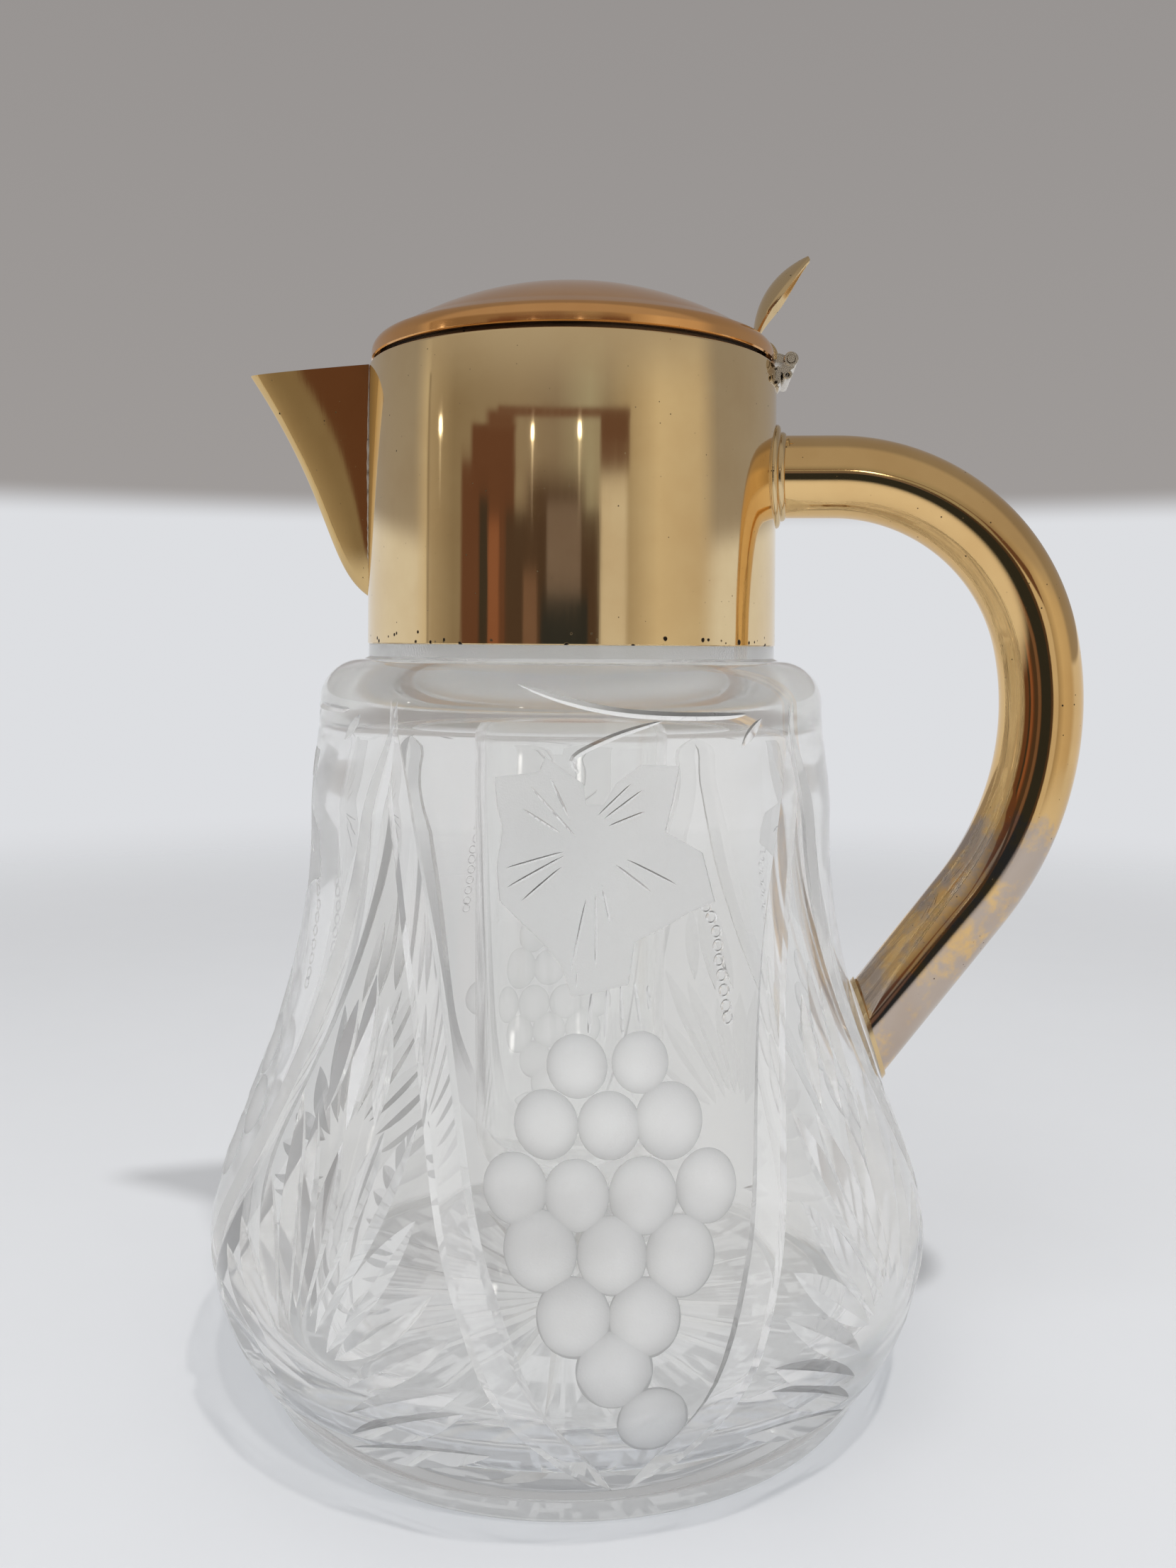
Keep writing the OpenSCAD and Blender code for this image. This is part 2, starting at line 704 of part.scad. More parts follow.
module ice_tube() {
    color([0.88, 0.92, 0.92, 0.45])
    rotate_extrude()
        polygon(concat(
            [[0, ice_z]],
            arc_points([ice_r - ice_round, ice_z + ice_round], ice_round, -90, 0, 8),
            [[ice_r, ice_rim_z],
             [ice_rim_r - 0.6, ice_rim_z],
             [ice_rim_r, ice_rim_z + 0.6],
             [ice_rim_r, ice_rim_z + ice_rim_t - 0.6],
             [ice_rim_r - 0.6, ice_rim_z + ice_rim_t],
             [ice_r - ice_wall + 1, ice_rim_z + ice_rim_t],
             [ice_r - ice_wall, ice_rim_z + ice_rim_t - 1]],
            arc_points([ice_r - ice_round, ice_z + ice_round + ice_wall],
                ice_round - ice_wall, 0, -90, 8),
            [[0, ice_z + 2 * ice_wall]]));
}

glass_body();
neck_cement();
collar();
insert_seat();
spout();
handle();
handle_flange();
handle_foot();
collar_hinge_leaf();
hinge_pin();
lid();
lid_bezel();
lid_hinge_leaf();
thumb_piece();
ice_tube();
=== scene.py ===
"""Lidded claret jug: cut glass body, gilt collar, spout, handle and hinged lid, loose ice tube.

Shapes are worked out in millimetres and turned into metres as each mesh is made.
"""

import random
from math import asin, atan2, cos, degrees, hypot, pi, radians, sin, sqrt

import bmesh
import bpy
from mathutils import Matrix, Vector


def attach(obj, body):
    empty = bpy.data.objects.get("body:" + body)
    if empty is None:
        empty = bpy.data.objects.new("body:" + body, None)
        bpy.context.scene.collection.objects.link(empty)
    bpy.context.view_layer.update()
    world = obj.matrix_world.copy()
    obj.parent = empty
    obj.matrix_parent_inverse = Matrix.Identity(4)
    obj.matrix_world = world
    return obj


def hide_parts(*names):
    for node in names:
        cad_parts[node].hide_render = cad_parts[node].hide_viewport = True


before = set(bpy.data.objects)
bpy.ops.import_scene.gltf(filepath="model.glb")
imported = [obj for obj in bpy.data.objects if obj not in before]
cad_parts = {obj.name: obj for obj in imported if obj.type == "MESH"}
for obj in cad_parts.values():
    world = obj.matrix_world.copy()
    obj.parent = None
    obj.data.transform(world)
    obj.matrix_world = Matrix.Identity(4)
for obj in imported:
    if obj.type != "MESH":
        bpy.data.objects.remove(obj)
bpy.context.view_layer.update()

MM = 0.001
scene = bpy.context.scene
chance = random.Random(11)

# ---- Sizes of the jug, in millimetres ----

FOOT_R, FOOT_H, FOOT_ROUND = 75.5, 6.0, 1.0
BAND_LEAN, BAND_STEP = 1.6, 1.0
BELLY_R, BELLY_Z = 89.5, 37.0
WAIST_R, WAIST_Z = 64.2, 140.0
SHOULDER_R, SHOULDER_Z, SHOULDER_ROUND = 61.5, 166.0, 10.5
GLASS_WALL, FLOOR_T, FLOOR_CORNER = 7.0, 14.0, 22.0
STAR_R, STAR_DEPTH, STAR_RAYS = 60.0, 1.6, 24
COLLAR_Z, COLLAR_H, COLLAR_R, COLLAR_TOP_R, COLLAR_WALL = 180.0, 65.5, 50.0, 49.0, 1.2
COLLAR_TOP = COLLAR_Z + COLLAR_H
NECK_TOP = COLLAR_Z + 26.0
SPOUT_REACH, SPOUT_H, SPOUT_HALF_W, SPOUT_WALL, KEEL_SOFT = 31.2, 54.7, 13.6, 1.1, 0.16
LID_Z, LID_R, LID_RIM_H, LID_EDGE, DOME_RISE, LID_WALL = 246.7, 48.4, 1.7, 3.4, 13.0, 1.1
HINGE_X, HINGE_Z, KNUCKLE_R, PIN_R, HINGE_W, MIDDLE_W = 51.9, 247.0, 1.7, 0.9, 16.0, 6.0
THUMB_H, THUMB_LEAN, THUMB_W, THUMB_DISH, THUMB_T = 18.6, 12.6, 15.0, 3.8, 0.9
HANDLE_R, HANDLE_Z, HANDLE_X = 9.8, 220.8, 63.4
UPPER_BEND, UPPER_TURN, LOWER_BEND, LOWER_TURN = 50.5, 77.0, 78.0, 49.0
FLANGE_R, FLANGE_T = 12.3, 1.1
ICE_R, ICE_WALL, ICE_Z, ICE_RIM_R, ICE_RIM_T, ICE_ROUND = 24.0, 2.4, 44.0, 31.0, 3.2, 14.0
SEAT_Z = COLLAR_TOP - 6.6
REST_GAP, SOLDER, HOLE_R = 0.3, 0.02, 1.5

PANELS = 4
PANEL_AZ = radians(12.2)               # middle of the front panel, from -Y towards +X
FAN_AZ = PANEL_AZ - pi / PANELS
TURN = 240                             # steps round the turned pieces


def collar_r_at(z):
    return COLLAR_R - (COLLAR_R - COLLAR_TOP_R) * (z - COLLAR_Z) / COLLAR_H


NECK_R = collar_r_at(NECK_TOP) - COLLAR_WALL - 1.2
NECK_BORE = NECK_R - 7.0


def mix(a, b, t):
    return a + (b - a) * t


def bez(p, t):
    k = ((1 - t) ** 3, 3 * t * (1 - t) ** 2, 3 * t * t * (1 - t), t ** 3)
    return tuple(sum(w * q[i] for w, q in zip(k, p)) for i in range(len(p[0])))


def bez_points(p, n):
    return [bez(p, i / n) for i in range(n + 1)]


def arc(centre, r, a0, a1, n):
    """Points on a circle, angles in degrees."""
    return [(centre[0] + r * cos(radians(mix(a0, a1, i / n))),
             centre[1] + r * sin(radians(mix(a0, a1, i / n)))) for i in range(n + 1)]


def circle(n):
    """Cosine and sine of n even steps round a circle."""
    return [(cos(2 * pi * i / n), sin(2 * pi * i / n)) for i in range(n)]


def smooth_line(points, n):
    """Catmull-Rom line through the points, with n steps between neighbours."""
    out = []
    last = len(points) - 1
    for i in range(last):
        quad = points[max(0, i - 1)], points[i], points[i + 1], points[min(last, i + 2)]
        for k in range(n):
            t = k / n
            out.append(tuple(0.5 * (2 * b + (c - a) * t + (2 * a - 5 * b + 4 * c - d) * t * t
                                    + (3 * b - a - 3 * c + d) * t ** 3) for a, b, c, d in zip(*quad)))
    out.append(tuple(points[-1]))
    return out


def along(table, x):
    """Value at x on a line through (x, value) pairs."""
    if x <= table[0][0]:
        return table[0][1]
    for (x0, v0), (x1, v1) in zip(table, table[1:]):
        if x <= x1:
            return mix(v0, v1, (x - x0) / (x1 - x0))
    return table[-1][1]


# ---- Node helpers ----

def put(tree, socket, value):
    """Sets a socket to a plain value, or joins to it an output or a node's first output."""
    if isinstance(value, bpy.types.Node):
        value = value.outputs[0]
    if isinstance(value, bpy.types.NodeSocket):
        tree.links.new(value, socket)
    elif socket.type == "RGBA" and len(value) == 3:
        socket.default_value = (*value, 1)
    else:
        socket.default_value = value


def place(tree, kind, props=None, **ins):
    """Adds a node. An input is named in full, or as i0, i1 ... by its place."""
    nd = tree.nodes.new("ShaderNode" + kind)
    for k, v in (props or {}).items():
        setattr(nd, k, v)
    for k, v in ins.items():
        put(tree, nd.inputs[int(k[1:])] if k[0] == "i" and k[1:].isdigit()
            else nd.inputs[k.replace("_", " ")], v)
    return nd


def maths(op):
    """A function that adds one kind of Math node."""
    def calc(tree, a, b=0.0, clamp=False):
        return place(tree, "Math", {"operation": op, "use_clamp": clamp}, i0=a, i1=b).outputs[0]
    return calc


add, sub, mul, power, most, beyond, root, bearing = (maths(op) for op in (
    "ADD", "SUBTRACT", "MULTIPLY", "POWER", "MAXIMUM", "GREATER_THAN", "SQRT", "ARCTAN2"))


def ease(tree, x, low, high):
    """Soft rise from 0 at low to 1 at high."""
    return place(tree, "MapRange", {"interpolation_type": "SMOOTHSTEP"}, i0=x, i1=low, i2=high).outputs[0]


def blend(tree, fac, a, b, how="MIX"):
    return place(tree, "Mix", {"data_type": "RGBA", "blend_type": how}, i0=fac, i6=a, i7=b).outputs[2]


def layer(tree, fac, under, over):
    """Lays a shader over another."""
    return place(tree, "MixShader", i0=fac, i1=under, i2=over)


def ramp(tree, value, stops, smooth="LINEAR"):
    """Brightness or colour along a value; stops are (place, grey or colour)."""
    nd = place(tree, "ValToRGB", i0=value)
    cr = nd.color_ramp
    cr.interpolation = smooth
    while len(cr.elements) < len(stops):
        cr.elements.new(0.5)
    for el, (at, col) in zip(cr.elements, stops):
        el.position = at
        el.color = (col, col, col, 1) if isinstance(col, (int, float)) else (*col, 1)
    return nd.outputs[0]


def noise(tree, where, scale, detail=3.0, rough=0.5):
    return place(tree, "TexNoise", Vector=where, Scale=scale, Detail=detail, Roughness=rough).outputs["Fac"]


def group(name, ins, outs):
    """A node group with named inputs (name, kind, value) and outputs (name, kind)."""
    g = bpy.data.node_groups.new(name, "ShaderNodeTree")
    for label, kind, value in ins:
        s = g.interface.new_socket(label, in_out="INPUT", socket_type="NodeSocket" + kind)
        if value is not None:
            s.default_value = value
    for label, kind in outs:
        g.interface.new_socket(label, in_out="OUTPUT", socket_type="NodeSocket" + kind)
    return g, g.nodes.new("NodeGroupInput").outputs, g.nodes.new("NodeGroupOutput").inputs


def use(tree, g, **ins):
    nd = tree.nodes.new("ShaderNodeGroup")
    nd.node_tree = g
    for k, v in ins.items():
        put(tree, nd.inputs[k.replace("_", " ")], v)
    return nd.outputs


def material(name):
    """A new material, its empty node tree and the place in the jug's frame."""
    m = bpy.data.materials.new(name)
    m.use_nodes = True
    t = m.node_tree
    t.nodes.clear()
    return m, t, place(t, "TexCoord").outputs["Object"]


# ---- Effects that several finishes share ----

SMEAR_TINT, TARNISH = (0.62, 0.44, 0.26), (0.035, 0.026, 0.02)
CRYSTAL_IOR, WEAK_IOR = 1.53, 1.16
# SPENT_GLOW is painted light: the emission colour where long paths through the glass end.
SPENT_GLOW, SCUFFED = (0.56, 0.56, 0.55), (0.78, 0.78, 0.77)
SHADOW_MIDDLE, SHADOW_RIM = (0.975, 0.98, 0.982), (0.74, 0.75, 0.76)
# Direction from which the polished cuts' painted shading falls; no lamp is placed by it.
PAINTED_LIGHT_WAY = (-0.38, -0.30, 0.87)
DEEP = 1.2                             # depth in millimetres that cut_depth calls 1


def polish_group():
    """Fine polishing lines and soft dents of hand-worked sheet metal."""
    g, i, o = group("polish marks", [("Place", "Vector", None), ("Dent strength", "Float", 1.0)],
                    [("Height", "Float"), ("Lines", "Float"), ("Smears", "Float")])
    fine = place(g, "VectorMath", {"operation": "MULTIPLY"}, i0=i["Place"], i1=(1, 1, 0.05))
    lines = noise(g, fine, 900.0, 2.0, 0.6)
    dents = noise(g, i["Place"], 22.0, 1.0, 0.4)
    put(g, o["Height"], add(g, mul(g, lines, 0.25), mul(g, dents, i["Dent strength"])))
    put(g, o["Lines"], lines)
    put(g, o["Smears"], ramp(g, noise(g, i["Place"], 35.0, 4.0, 0.62), [(0.42, 0.0), (0.72, 1.0)]))
    return g


def worn_group():
    """Gilding rubbed through to silver: Amount moves the edge of the worn patches."""
    g, i, o = group("worn gilding", [
        ("Place", "Vector", None), ("Gilt", "Color", None), ("Silver", "Color", None),
        ("Amount", "Float", 0.2), ("Patch scale", "Float", 55.0)], [("Color", "Color"), ("Worn", "Float")])
    broad = noise(g, i["Place"], i["Patch scale"], 5.0, 0.62)
    small = noise(g, i["Place"], mul(g, i["Patch scale"], 7.0), 3.0, 0.6)
    level = add(g, mul(g, broad, 0.75), mul(g, small, 0.25))
    worn = ramp(g, add(g, level, sub(g, i["Amount"], 0.5)), [(0.44, 0.0), (0.58, 1.0)], "EASE")
    put(g, o["Color"], blend(g, worn, i["Gilt"], i["Silver"]))
    put(g, o["Worn"], worn)
    return g


def speck_group():
    """Small dark tarnish specks, thick where Amount is high."""
    g, i, o = group("tarnish specks", [("Place", "Vector", None), ("Amount", "Float", 0.1)],
                    [("Specks", "Float")])
    spot = place(g, "TexVoronoi", {"feature": "F1"}, Vector=i["Place"], Scale=420.0)
    reach = mul(g, power(g, noise(g, i["Place"], 160.0, 3.0, 0.7), 2.0), i["Amount"])
    put(g, o["Specks"], mul(g, sub(g, reach, spot.outputs["Distance"]), 14.0, clamp=True))
    return g


POLISH, WORN, SPECKS = polish_group(), worn_group(), speck_group()


def metal(name, gilt, silver, amount, rough=0.035, bump=0.035, dents=1.0, specks=0.25,
          wear_band=None, speck_band=None, patch=55.0):
    """Polished sheet metal with a gilt face; a band is (height, height, value there)."""
    m, t, at = material(name)

    def banded(value, band):
        if not band:
            return value
        low, high, there = band
        z = place(t, "SeparateXYZ", i0=at).outputs[2]
        return add(t, mul(t, ease(t, z, low * MM, high * MM), there - value), value)

    polish = use(t, POLISH, Place=at, Dent_strength=dents)
    worn = use(t, WORN, Place=at, Gilt=gilt, Silver=silver, Amount=banded(amount, wear_band),
               Patch_scale=patch)
    dark = use(t, SPECKS, Place=at, Amount=banded(specks, speck_band))["Specks"]
    tone = blend(t, mul(t, polish["Smears"], 0.22), worn["Color"], SMEAR_TINT, "MULTIPLY")
    gloss = add(t, mul(t, polish["Lines"], 0.03), rough)
    gloss = add(t, gloss, mul(t, polish["Smears"], 0.035))
    gloss = add(t, gloss, mul(t, dark, 0.5))
    high = sub(t, polish["Height"], mul(t, worn["Worn"], 0.05))
    normal = place(t, "Bump", Strength=bump, Distance=0.0004, Height=high)
    place(t, "OutputMaterial", i0=place(t, "BsdfPrincipled", Base_Color=blend(t, dark, tone, TARNISH),
                                        Metallic=1.0, Roughness=gloss, Normal=normal))
    return m


def cut_depth(tree, at):
    """How deep a point lies under the turned outside of the jug; 1 stands for DEEP millimetres."""
    x, y, z = place(tree, "SeparateXYZ", i0=at).outputs
    outside = ramp(tree, mul(tree, z, 5.0), [(h / 200.0, r_at(h) / 100.0) for h in range(10, 173, 6)])
    off_axis = root(tree, add(tree, mul(tree, x, x), mul(tree, y, y)))
    return sub(tree, mul(tree, outside, 100.0 / DEEP), mul(tree, off_axis, 1000.0 / DEEP))


def clear_glass(name, tint, rough, haze, ripple, clear, frost=False, calm=True, depth_shading=None, lean=None):
    """Glass with faint smears, or the matt face of a ground cut. It lets most light through its shadow.

    With calm, the far side of the jug bends light less, so its cuts stay faint behind the near
    ones, and the foot's rim is scuffed. Light that has gone back and forth too often ends in a
    painted pale glow, an emission, instead of black. With the depth ramp, the tint follows cut_depth
    as painted shading: darker at the shallow rims of the cuts, lighter in their deep middles. With
    lean, it follows how far a face leans up to a painted light direction (1) or away from it (0), so
    faces turned away carry painted shade and faces turned up carry painted light.
    """
    m, t, at = material(name)
    smear = ramp(t, noise(t, at, 60.0, 4.0, 0.6), [(0.5, 0.0), (0.8, 1.0)])
    gloss = add(t, mul(t, smear, haze), rough)
    grain = noise(t, at, 2600.0, 3.0, 0.6) if frost else noise(t, at, 28.0, 1.0, 0.6)
    normal = place(t, "Bump", Strength=ripple, Distance=0.0003, Height=grain)
    if depth_shading:
        # Painted shading: shallow rims of the cuts darker, their deep middles lighter.
        tint = ramp(t, cut_depth(t, at), depth_shading)
    if lean:
        # Painted shading: faces turned up to the light direction get a lighter tint, faces turned away a
        # darker one.
        face = place(t, "NewGeometry").outputs["Normal"]
        up = place(t, "VectorMath", {"operation": "DOT_PRODUCT"}, i0=face, i1=PAINTED_LIGHT_WAY).outputs["Value"]
        tint = ramp(t, add(t, mul(t, up, 0.5), 0.5), lean)

    def bulk(ior):
        return place(t, "BsdfPrincipled", Base_Color=tint, Roughness=gloss, Metallic=0.0, IOR=ior,
                     Transmission_Weight=clear, Normal=normal)

    glass = bulk(CRYSTAL_IOR)
    path = place(t, "LightPath").outputs
    height = place(t, "SeparateXYZ", i0=at).outputs[2]
    if calm:
        far = mul(t, beyond(t, path["Transmission Depth"], 1.5), beyond(t, height, 0.015))
        glass = layer(t, far, glass, bulk(WEAK_IOR))
    # Painted light: paths that bounced too often end in a pale emission instead of black.
    spent = most(t, beyond(t, path["Glossy Depth"], 2.5), beyond(t, path["Ray Depth"], 8.5))
    glass = layer(t, spent, glass, place(t, "Emission", Color=SPENT_GLOW, Strength=1.0))
    if calm:
        scuff = place(t, "BsdfPrincipled", Base_Color=SCUFFED, Roughness=0.35)
        foot = place(t, "MapRange", i0=height, i1=0.0065, i2=0.0085, i3=0.55, i4=0.0)
        glass = layer(t, foot, glass, scuff)
    slant = place(t, "LayerWeight", Blend=0.35).outputs["Facing"]
    through = place(t, "BsdfTransparent", Color=blend(t, slant, SHADOW_MIDDLE, SHADOW_RIM))
    place(t, "OutputMaterial", i0=layer(t, path["Is Shadow Ray"], glass, through))
    return m


def plaster(name):
    m, t, at = material(name)
    grit = noise(t, at, 700.0, 6.0, 0.7)
    place(t, "OutputMaterial", i0=place(
        t, "BsdfPrincipled", Base_Color=blend(t, grit, (0.62, 0.58, 0.5), (0.8, 0.78, 0.7)), Roughness=0.85,
        Normal=place(t, "Bump", Strength=0.4, Distance=0.0005, Height=grit)))
    return m


GILT, SILVER = (0.85, 0.66, 0.38), (0.80, 0.79, 0.76)
collar_gilt = metal("collar gilding", GILT, SILVER, 0.17, speck_band=(184, 180.2, 0.95))
lid_gilt = metal("lid gilding", (0.83, 0.45, 0.18), GILT, 0.16, rough=0.07, dents=0.7, specks=0.2)
spout_gilt = metal("spout gilding", (0.74, 0.53, 0.25), SILVER, 0.2, rough=0.05, specks=0.3)
handle_gilt = metal("handle gilding", (0.81, 0.545, 0.245), (0.54, 0.45, 0.38), 0.13, rough=0.03, dents=0.6,
                    specks=0.3, wear_band=(166, 122, 0.56), patch=42.0)
rubbed_gilt = metal("rubbed gilding", (0.72, 0.54, 0.30), SILVER, 0.30, rough=0.16, specks=0.4, patch=160.0)
inside_gilt = metal("inside gilding", (0.80, 0.62, 0.36), SILVER, 0.25, rough=0.22, specks=0.3)
# Nearly black bezel metal: painted shade of the gap under the lid's rim, with tarnish specks.
gap_shade_and_tarnish_ring = metal("gap shade and tarnish ring", (0.11, 0.075, 0.05), (0.22, 0.17, 0.12), 0.3, rough=0.3,
                       specks=0.4)
hinge_silver = metal("hinge silver", (0.62, 0.57, 0.48), (0.42, 0.40, 0.37), 0.4, rough=0.2,
                     specks=0.7, patch=300.0)
solder = metal("solder", (0.66, 0.64, 0.60), (0.24, 0.21, 0.18), 0.42, rough=0.3, specks=0.6,
               patch=420.0, bump=0.3)
cement = plaster("cement")

# ---- Mesh helpers ----


def make_object(name, shape, mats=()):
    verts, faces = shape
    me = bpy.data.meshes.new(name)
    me.from_pydata([tuple(v) for v in verts], [], faces)
    for m in mats:
        me.materials.append(m)
    me.validate()
    obj = bpy.data.objects.new(name, me)
    scene.collection.objects.link(obj)
    return obj


def outward(obj):
    bm = bmesh.new()
    bm.from_mesh(obj.data)
    bmesh.ops.recalc_face_normals(bm, faces=bm.faces)
    bm.to_mesh(obj.data)
    bm.free()


def shade(obj, angle=30.0):
    """Smooth shading that breaks at edges sharper than the angle."""
    obj.data.shade_smooth()
    bm = bmesh.new()
    bm.from_mesh(obj.data)
    limit = radians(angle)
    for e in bm.edges:
        e.smooth = len(e.link_faces) == 2 and e.calc_face_angle(0) < limit
    bm.to_mesh(obj.data)
    bm.free()


def revolve(line, n=TURN):
    """Closed solid turned about Z from a list of (r, z); r = 0 at an end makes a pole."""
    verts, rows, faces = [], [], []
    for r, z in line:
        start = len(verts)
        if r < 1e-6:
            rows.append([start])
            verts.append((0, 0, z))
        else:
            rows.append(list(range(start, start + n)))
            verts += [(r * c, r * s, z) for c, s in circle(n)]
    pairs = list(zip(rows, rows[1:]))
    if len(rows[0]) > 1 and len(rows[-1]) > 1:
        pairs.append((rows[-1], rows[0]))
    for a, b in pairs:
        for i in range(n):
            j = (i + 1) % n
            if len(a) == 1 and len(b) > 1:
                faces.append((a[0], b[j], b[i]))
            elif len(b) == 1 and len(a) > 1:
                faces.append((a[i], a[j], b[0]))
            elif len(a) > 1:
                faces.append((a[i], a[j], b[j], b[i]))
    return verts, faces


def band(a, b, n):
    """Faces between two rings of n points that start at a and b."""
    return [(a + i, a + (i + 1) % n, b + (i + 1) % n, b + i) for i in range(n)]


def loft(sections, closed=False):
    """Solid through sections of equal point count, capped unless it closes on itself."""
    m, count = len(sections[0]), len(sections)
    verts = [p for s in sections for p in s]
    faces = []
    for r in range(count if closed else count - 1):
        faces += band(r * m, ((r + 1) % count) * m, m)
    if not closed:
        faces.append(tuple(range(m - 1, -1, -1)))
        faces.append(tuple((count - 1) * m + i for i in range(m)))
    return verts, faces


def join_shapes(shapes):
    verts, faces = [], []
    for v, f in shapes:
        k = len(verts)
        verts += [tuple(p) for p in v]
        faces += [tuple(i + k for i in q) for q in f]
    return verts, faces


def combine(obj, others, how="DIFFERENCE"):
    """Cuts each other object from obj, or joins it to obj, and keeps the result as its mesh."""
    for c in others:
        outward(c)
        m = obj.modifiers.new("work", "BOOLEAN")
        m.operation = how
        m.solver = "MANIFOLD"
        m.object = c
    bpy.context.view_layer.update()
    got = bpy.data.meshes.new_from_object(obj.evaluated_get(bpy.context.evaluated_depsgraph_get()))
    obj.modifiers.clear()
    old, name = obj.data, obj.data.name
    obj.data = got
    bpy.data.meshes.remove(old)
    got.name = name
    for c in others:
        bpy.data.meshes.remove(c.data)


def finish_piece(obj, body, slot, *nodes, angle=30.0):
    """Turns a finished millimetre mesh into a piece of the jug."""
    outward(obj)
    obj.data.transform(Matrix.Scale(MM, 4))
    shade(obj, angle)
    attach(obj, body)
    if nodes:
        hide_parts(*nodes)


# ---- Glass body ----

def belly_low():
    return [(FOOT_R + BAND_LEAN + BAND_STEP, FOOT_H + BAND_STEP / 2),
            (FOOT_R + BAND_LEAN + 6.5, FOOT_H + 7), (BELLY_R, BELLY_Z - 13), (BELLY_R, BELLY_Z)]


def belly_high(inset=0.0):
    rise = WAIST_Z - BELLY_Z
    return [(BELLY_R - inset, BELLY_Z), (BELLY_R - inset, BELLY_Z + 0.2136 * rise),
            (WAIST_R - inset, WAIST_Z - 0.505 * rise), (WAIST_R - inset, WAIST_Z)]


def neck_curve(inset=0.0):
    return [(WAIST_R - inset, WAIST_Z), (WAIST_R - inset, WAIST_Z + 10),
            (SHOULDER_R - inset, SHOULDER_Z - 9), (SHOULDER_R - inset, SHOULDER_Z)]


RING_R = COLLAR_R - 0.2
SIDE_LINE = (bez_points(belly_low(), 14) + bez_points(belly_high(), 44)[1:]
             + bez_points(neck_curve(), 10)[1:]
             + [p for p in arc((SHOULDER_R - SHOULDER_ROUND, SHOULDER_Z), SHOULDER_ROUND, 0, 90, 20)[1:]
                if p[0] > RING_R + 0.3])


def outer_line():
    ring_z = SHOULDER_Z + SHOULDER_ROUND + 0.6
    return ([(0, 0), (30, 0), (STAR_R + 3, 0)]
            + arc((FOOT_R - FOOT_ROUND, FOOT_ROUND), FOOT_ROUND, -90, 0, 5)
            + [(FOOT_R + BAND_LEAN * 0.5, FOOT_H * 0.5), (FOOT_R + BAND_LEAN, FOOT_H)] + SIDE_LINE
            + [(RING_R, ring_z), (RING_R, COLLAR_Z - SOLDER), (NECK_R, COLLAR_Z - SOLDER),
               (NECK_R, NECK_TOP - 1.5), (NECK_R - 1.5, NECK_TOP)])


def inner_line():
    bend = SHOULDER_R - GLASS_WALL - NECK_BORE
    neck = [(r, z - 8 * i / 10) for i, (r, z) in enumerate(bez_points(neck_curve(GLASS_WALL), 10))]
    corner = (BELLY_R - GLASS_WALL - FLOOR_CORNER, FLOOR_T + FLOOR_CORNER)
    return ([(NECK_BORE + 1.5, NECK_TOP), (NECK_BORE, NECK_TOP - 1.5), (NECK_BORE, NECK_TOP - 18)]
            + [(NECK_BORE + bend * cos(a), SHOULDER_Z - 8 + bend * 0.8 * sin(a))
               for a in (radians(x) for x in range(90, 5, -6))]
            + neck[::-1] + bez_points(belly_high(GLASS_WALL), 40)[-2::-1]
            + arc(corner, FLOOR_CORNER, 0, -90, 16) + [(30, FLOOR_T), (0, FLOOR_T)])


def r_at(z):
    """Radius of the uncut glass at a height."""
    return along([(q[1], q[0]) for q in SIDE_LINE], z)


def on_glass(s, z, az0, out=0.0):
    """Point at arc length s from azimuth az0 and height z, out from the glass, and the normal there."""
    r = r_at(z)
    az = az0 + s / r
    slope = (r_at(z + 0.6) - r_at(z - 0.6)) / 1.2
    k = 1 / hypot(1, slope)
    n = Vector((sin(az) * k, -cos(az) * k, -slope * k))
    return Vector((r * sin(az), -r * cos(az), z)) + n * out, n


# ---- Cuts in the glass ----

glass_clear = clear_glass("cut glass", (0.98, 0.98, 0.977), 0.0, 0.02, 0.0, clear=0.90)
# Polished cuts: the lean stops paint shade on faces turned away and light on faces turned up.
glass_facet = clear_glass("polished cuts", (0.99, 0.99, 0.988), 0.03, 0.04, 0.02, clear=0.76,
                          lean=[(0.20, 0.10), (0.36, 0.32), (0.45, 0.92), (0.75, 1.0)])
# Ground cuts: the depth stops paint shade on shallow rims and light in the deep middles of the hollows.
glass_frost = clear_glass("ground glass", (0.975, 0.975, 0.97), 0.30, 0.1, 0.22, clear=0.76, frost=True,
                          depth_shading=[(0.0, 0.46), (0.07, 0.68), (0.35, 0.82), (0.75, 0.94), (1.0, 0.99)])
glass_leaf = clear_glass("ground leaf", (0.84, 0.84, 0.836), 0.36, 0.1, 0.22, clear=0.72, frost=True)
tube_clear = clear_glass("tube glass", (0.985, 0.988, 0.986), 0.0, 0.03, 0.03, clear=0.94, calm=False)
GLASS_SLOTS = (glass_clear, glass_facet, glass_frost, glass_leaf)


def sweep_cut(points, az0, profile):
    """Cutter along (s, z, depth) points; profile gives its section at a depth as (across, height) pairs."""
    sections = []
    spots = [on_glass(s, z, az0) for s, z, _ in points]
    last = len(points) - 1
    for i, (p, n) in enumerate(spots):
        t = (spots[min(last, i + 1)][0] - spots[max(0, i - 1)][0]).normalized()
        b = t.cross(n).normalized()
        n = b.cross(t).normalized()
        sections.append([p + b * x + n * h for x, h in profile(points[i][2])])
    return loft(sections)


def groove(points, az0, k, lift):
    """Even V cut; k is the width per depth of each side."""
    return sweep_cut(points, az0, lambda d: ((0, -d), ((d + lift) * k, lift), (-(d + lift) * k, lift)))


FLAT_WIDTH, FLAT_DEPTH, FAN_LEAN, PANEL_LEAN, EDGE_LIFT = 2.9, 0.52, 1.7, 1.3, 0.9


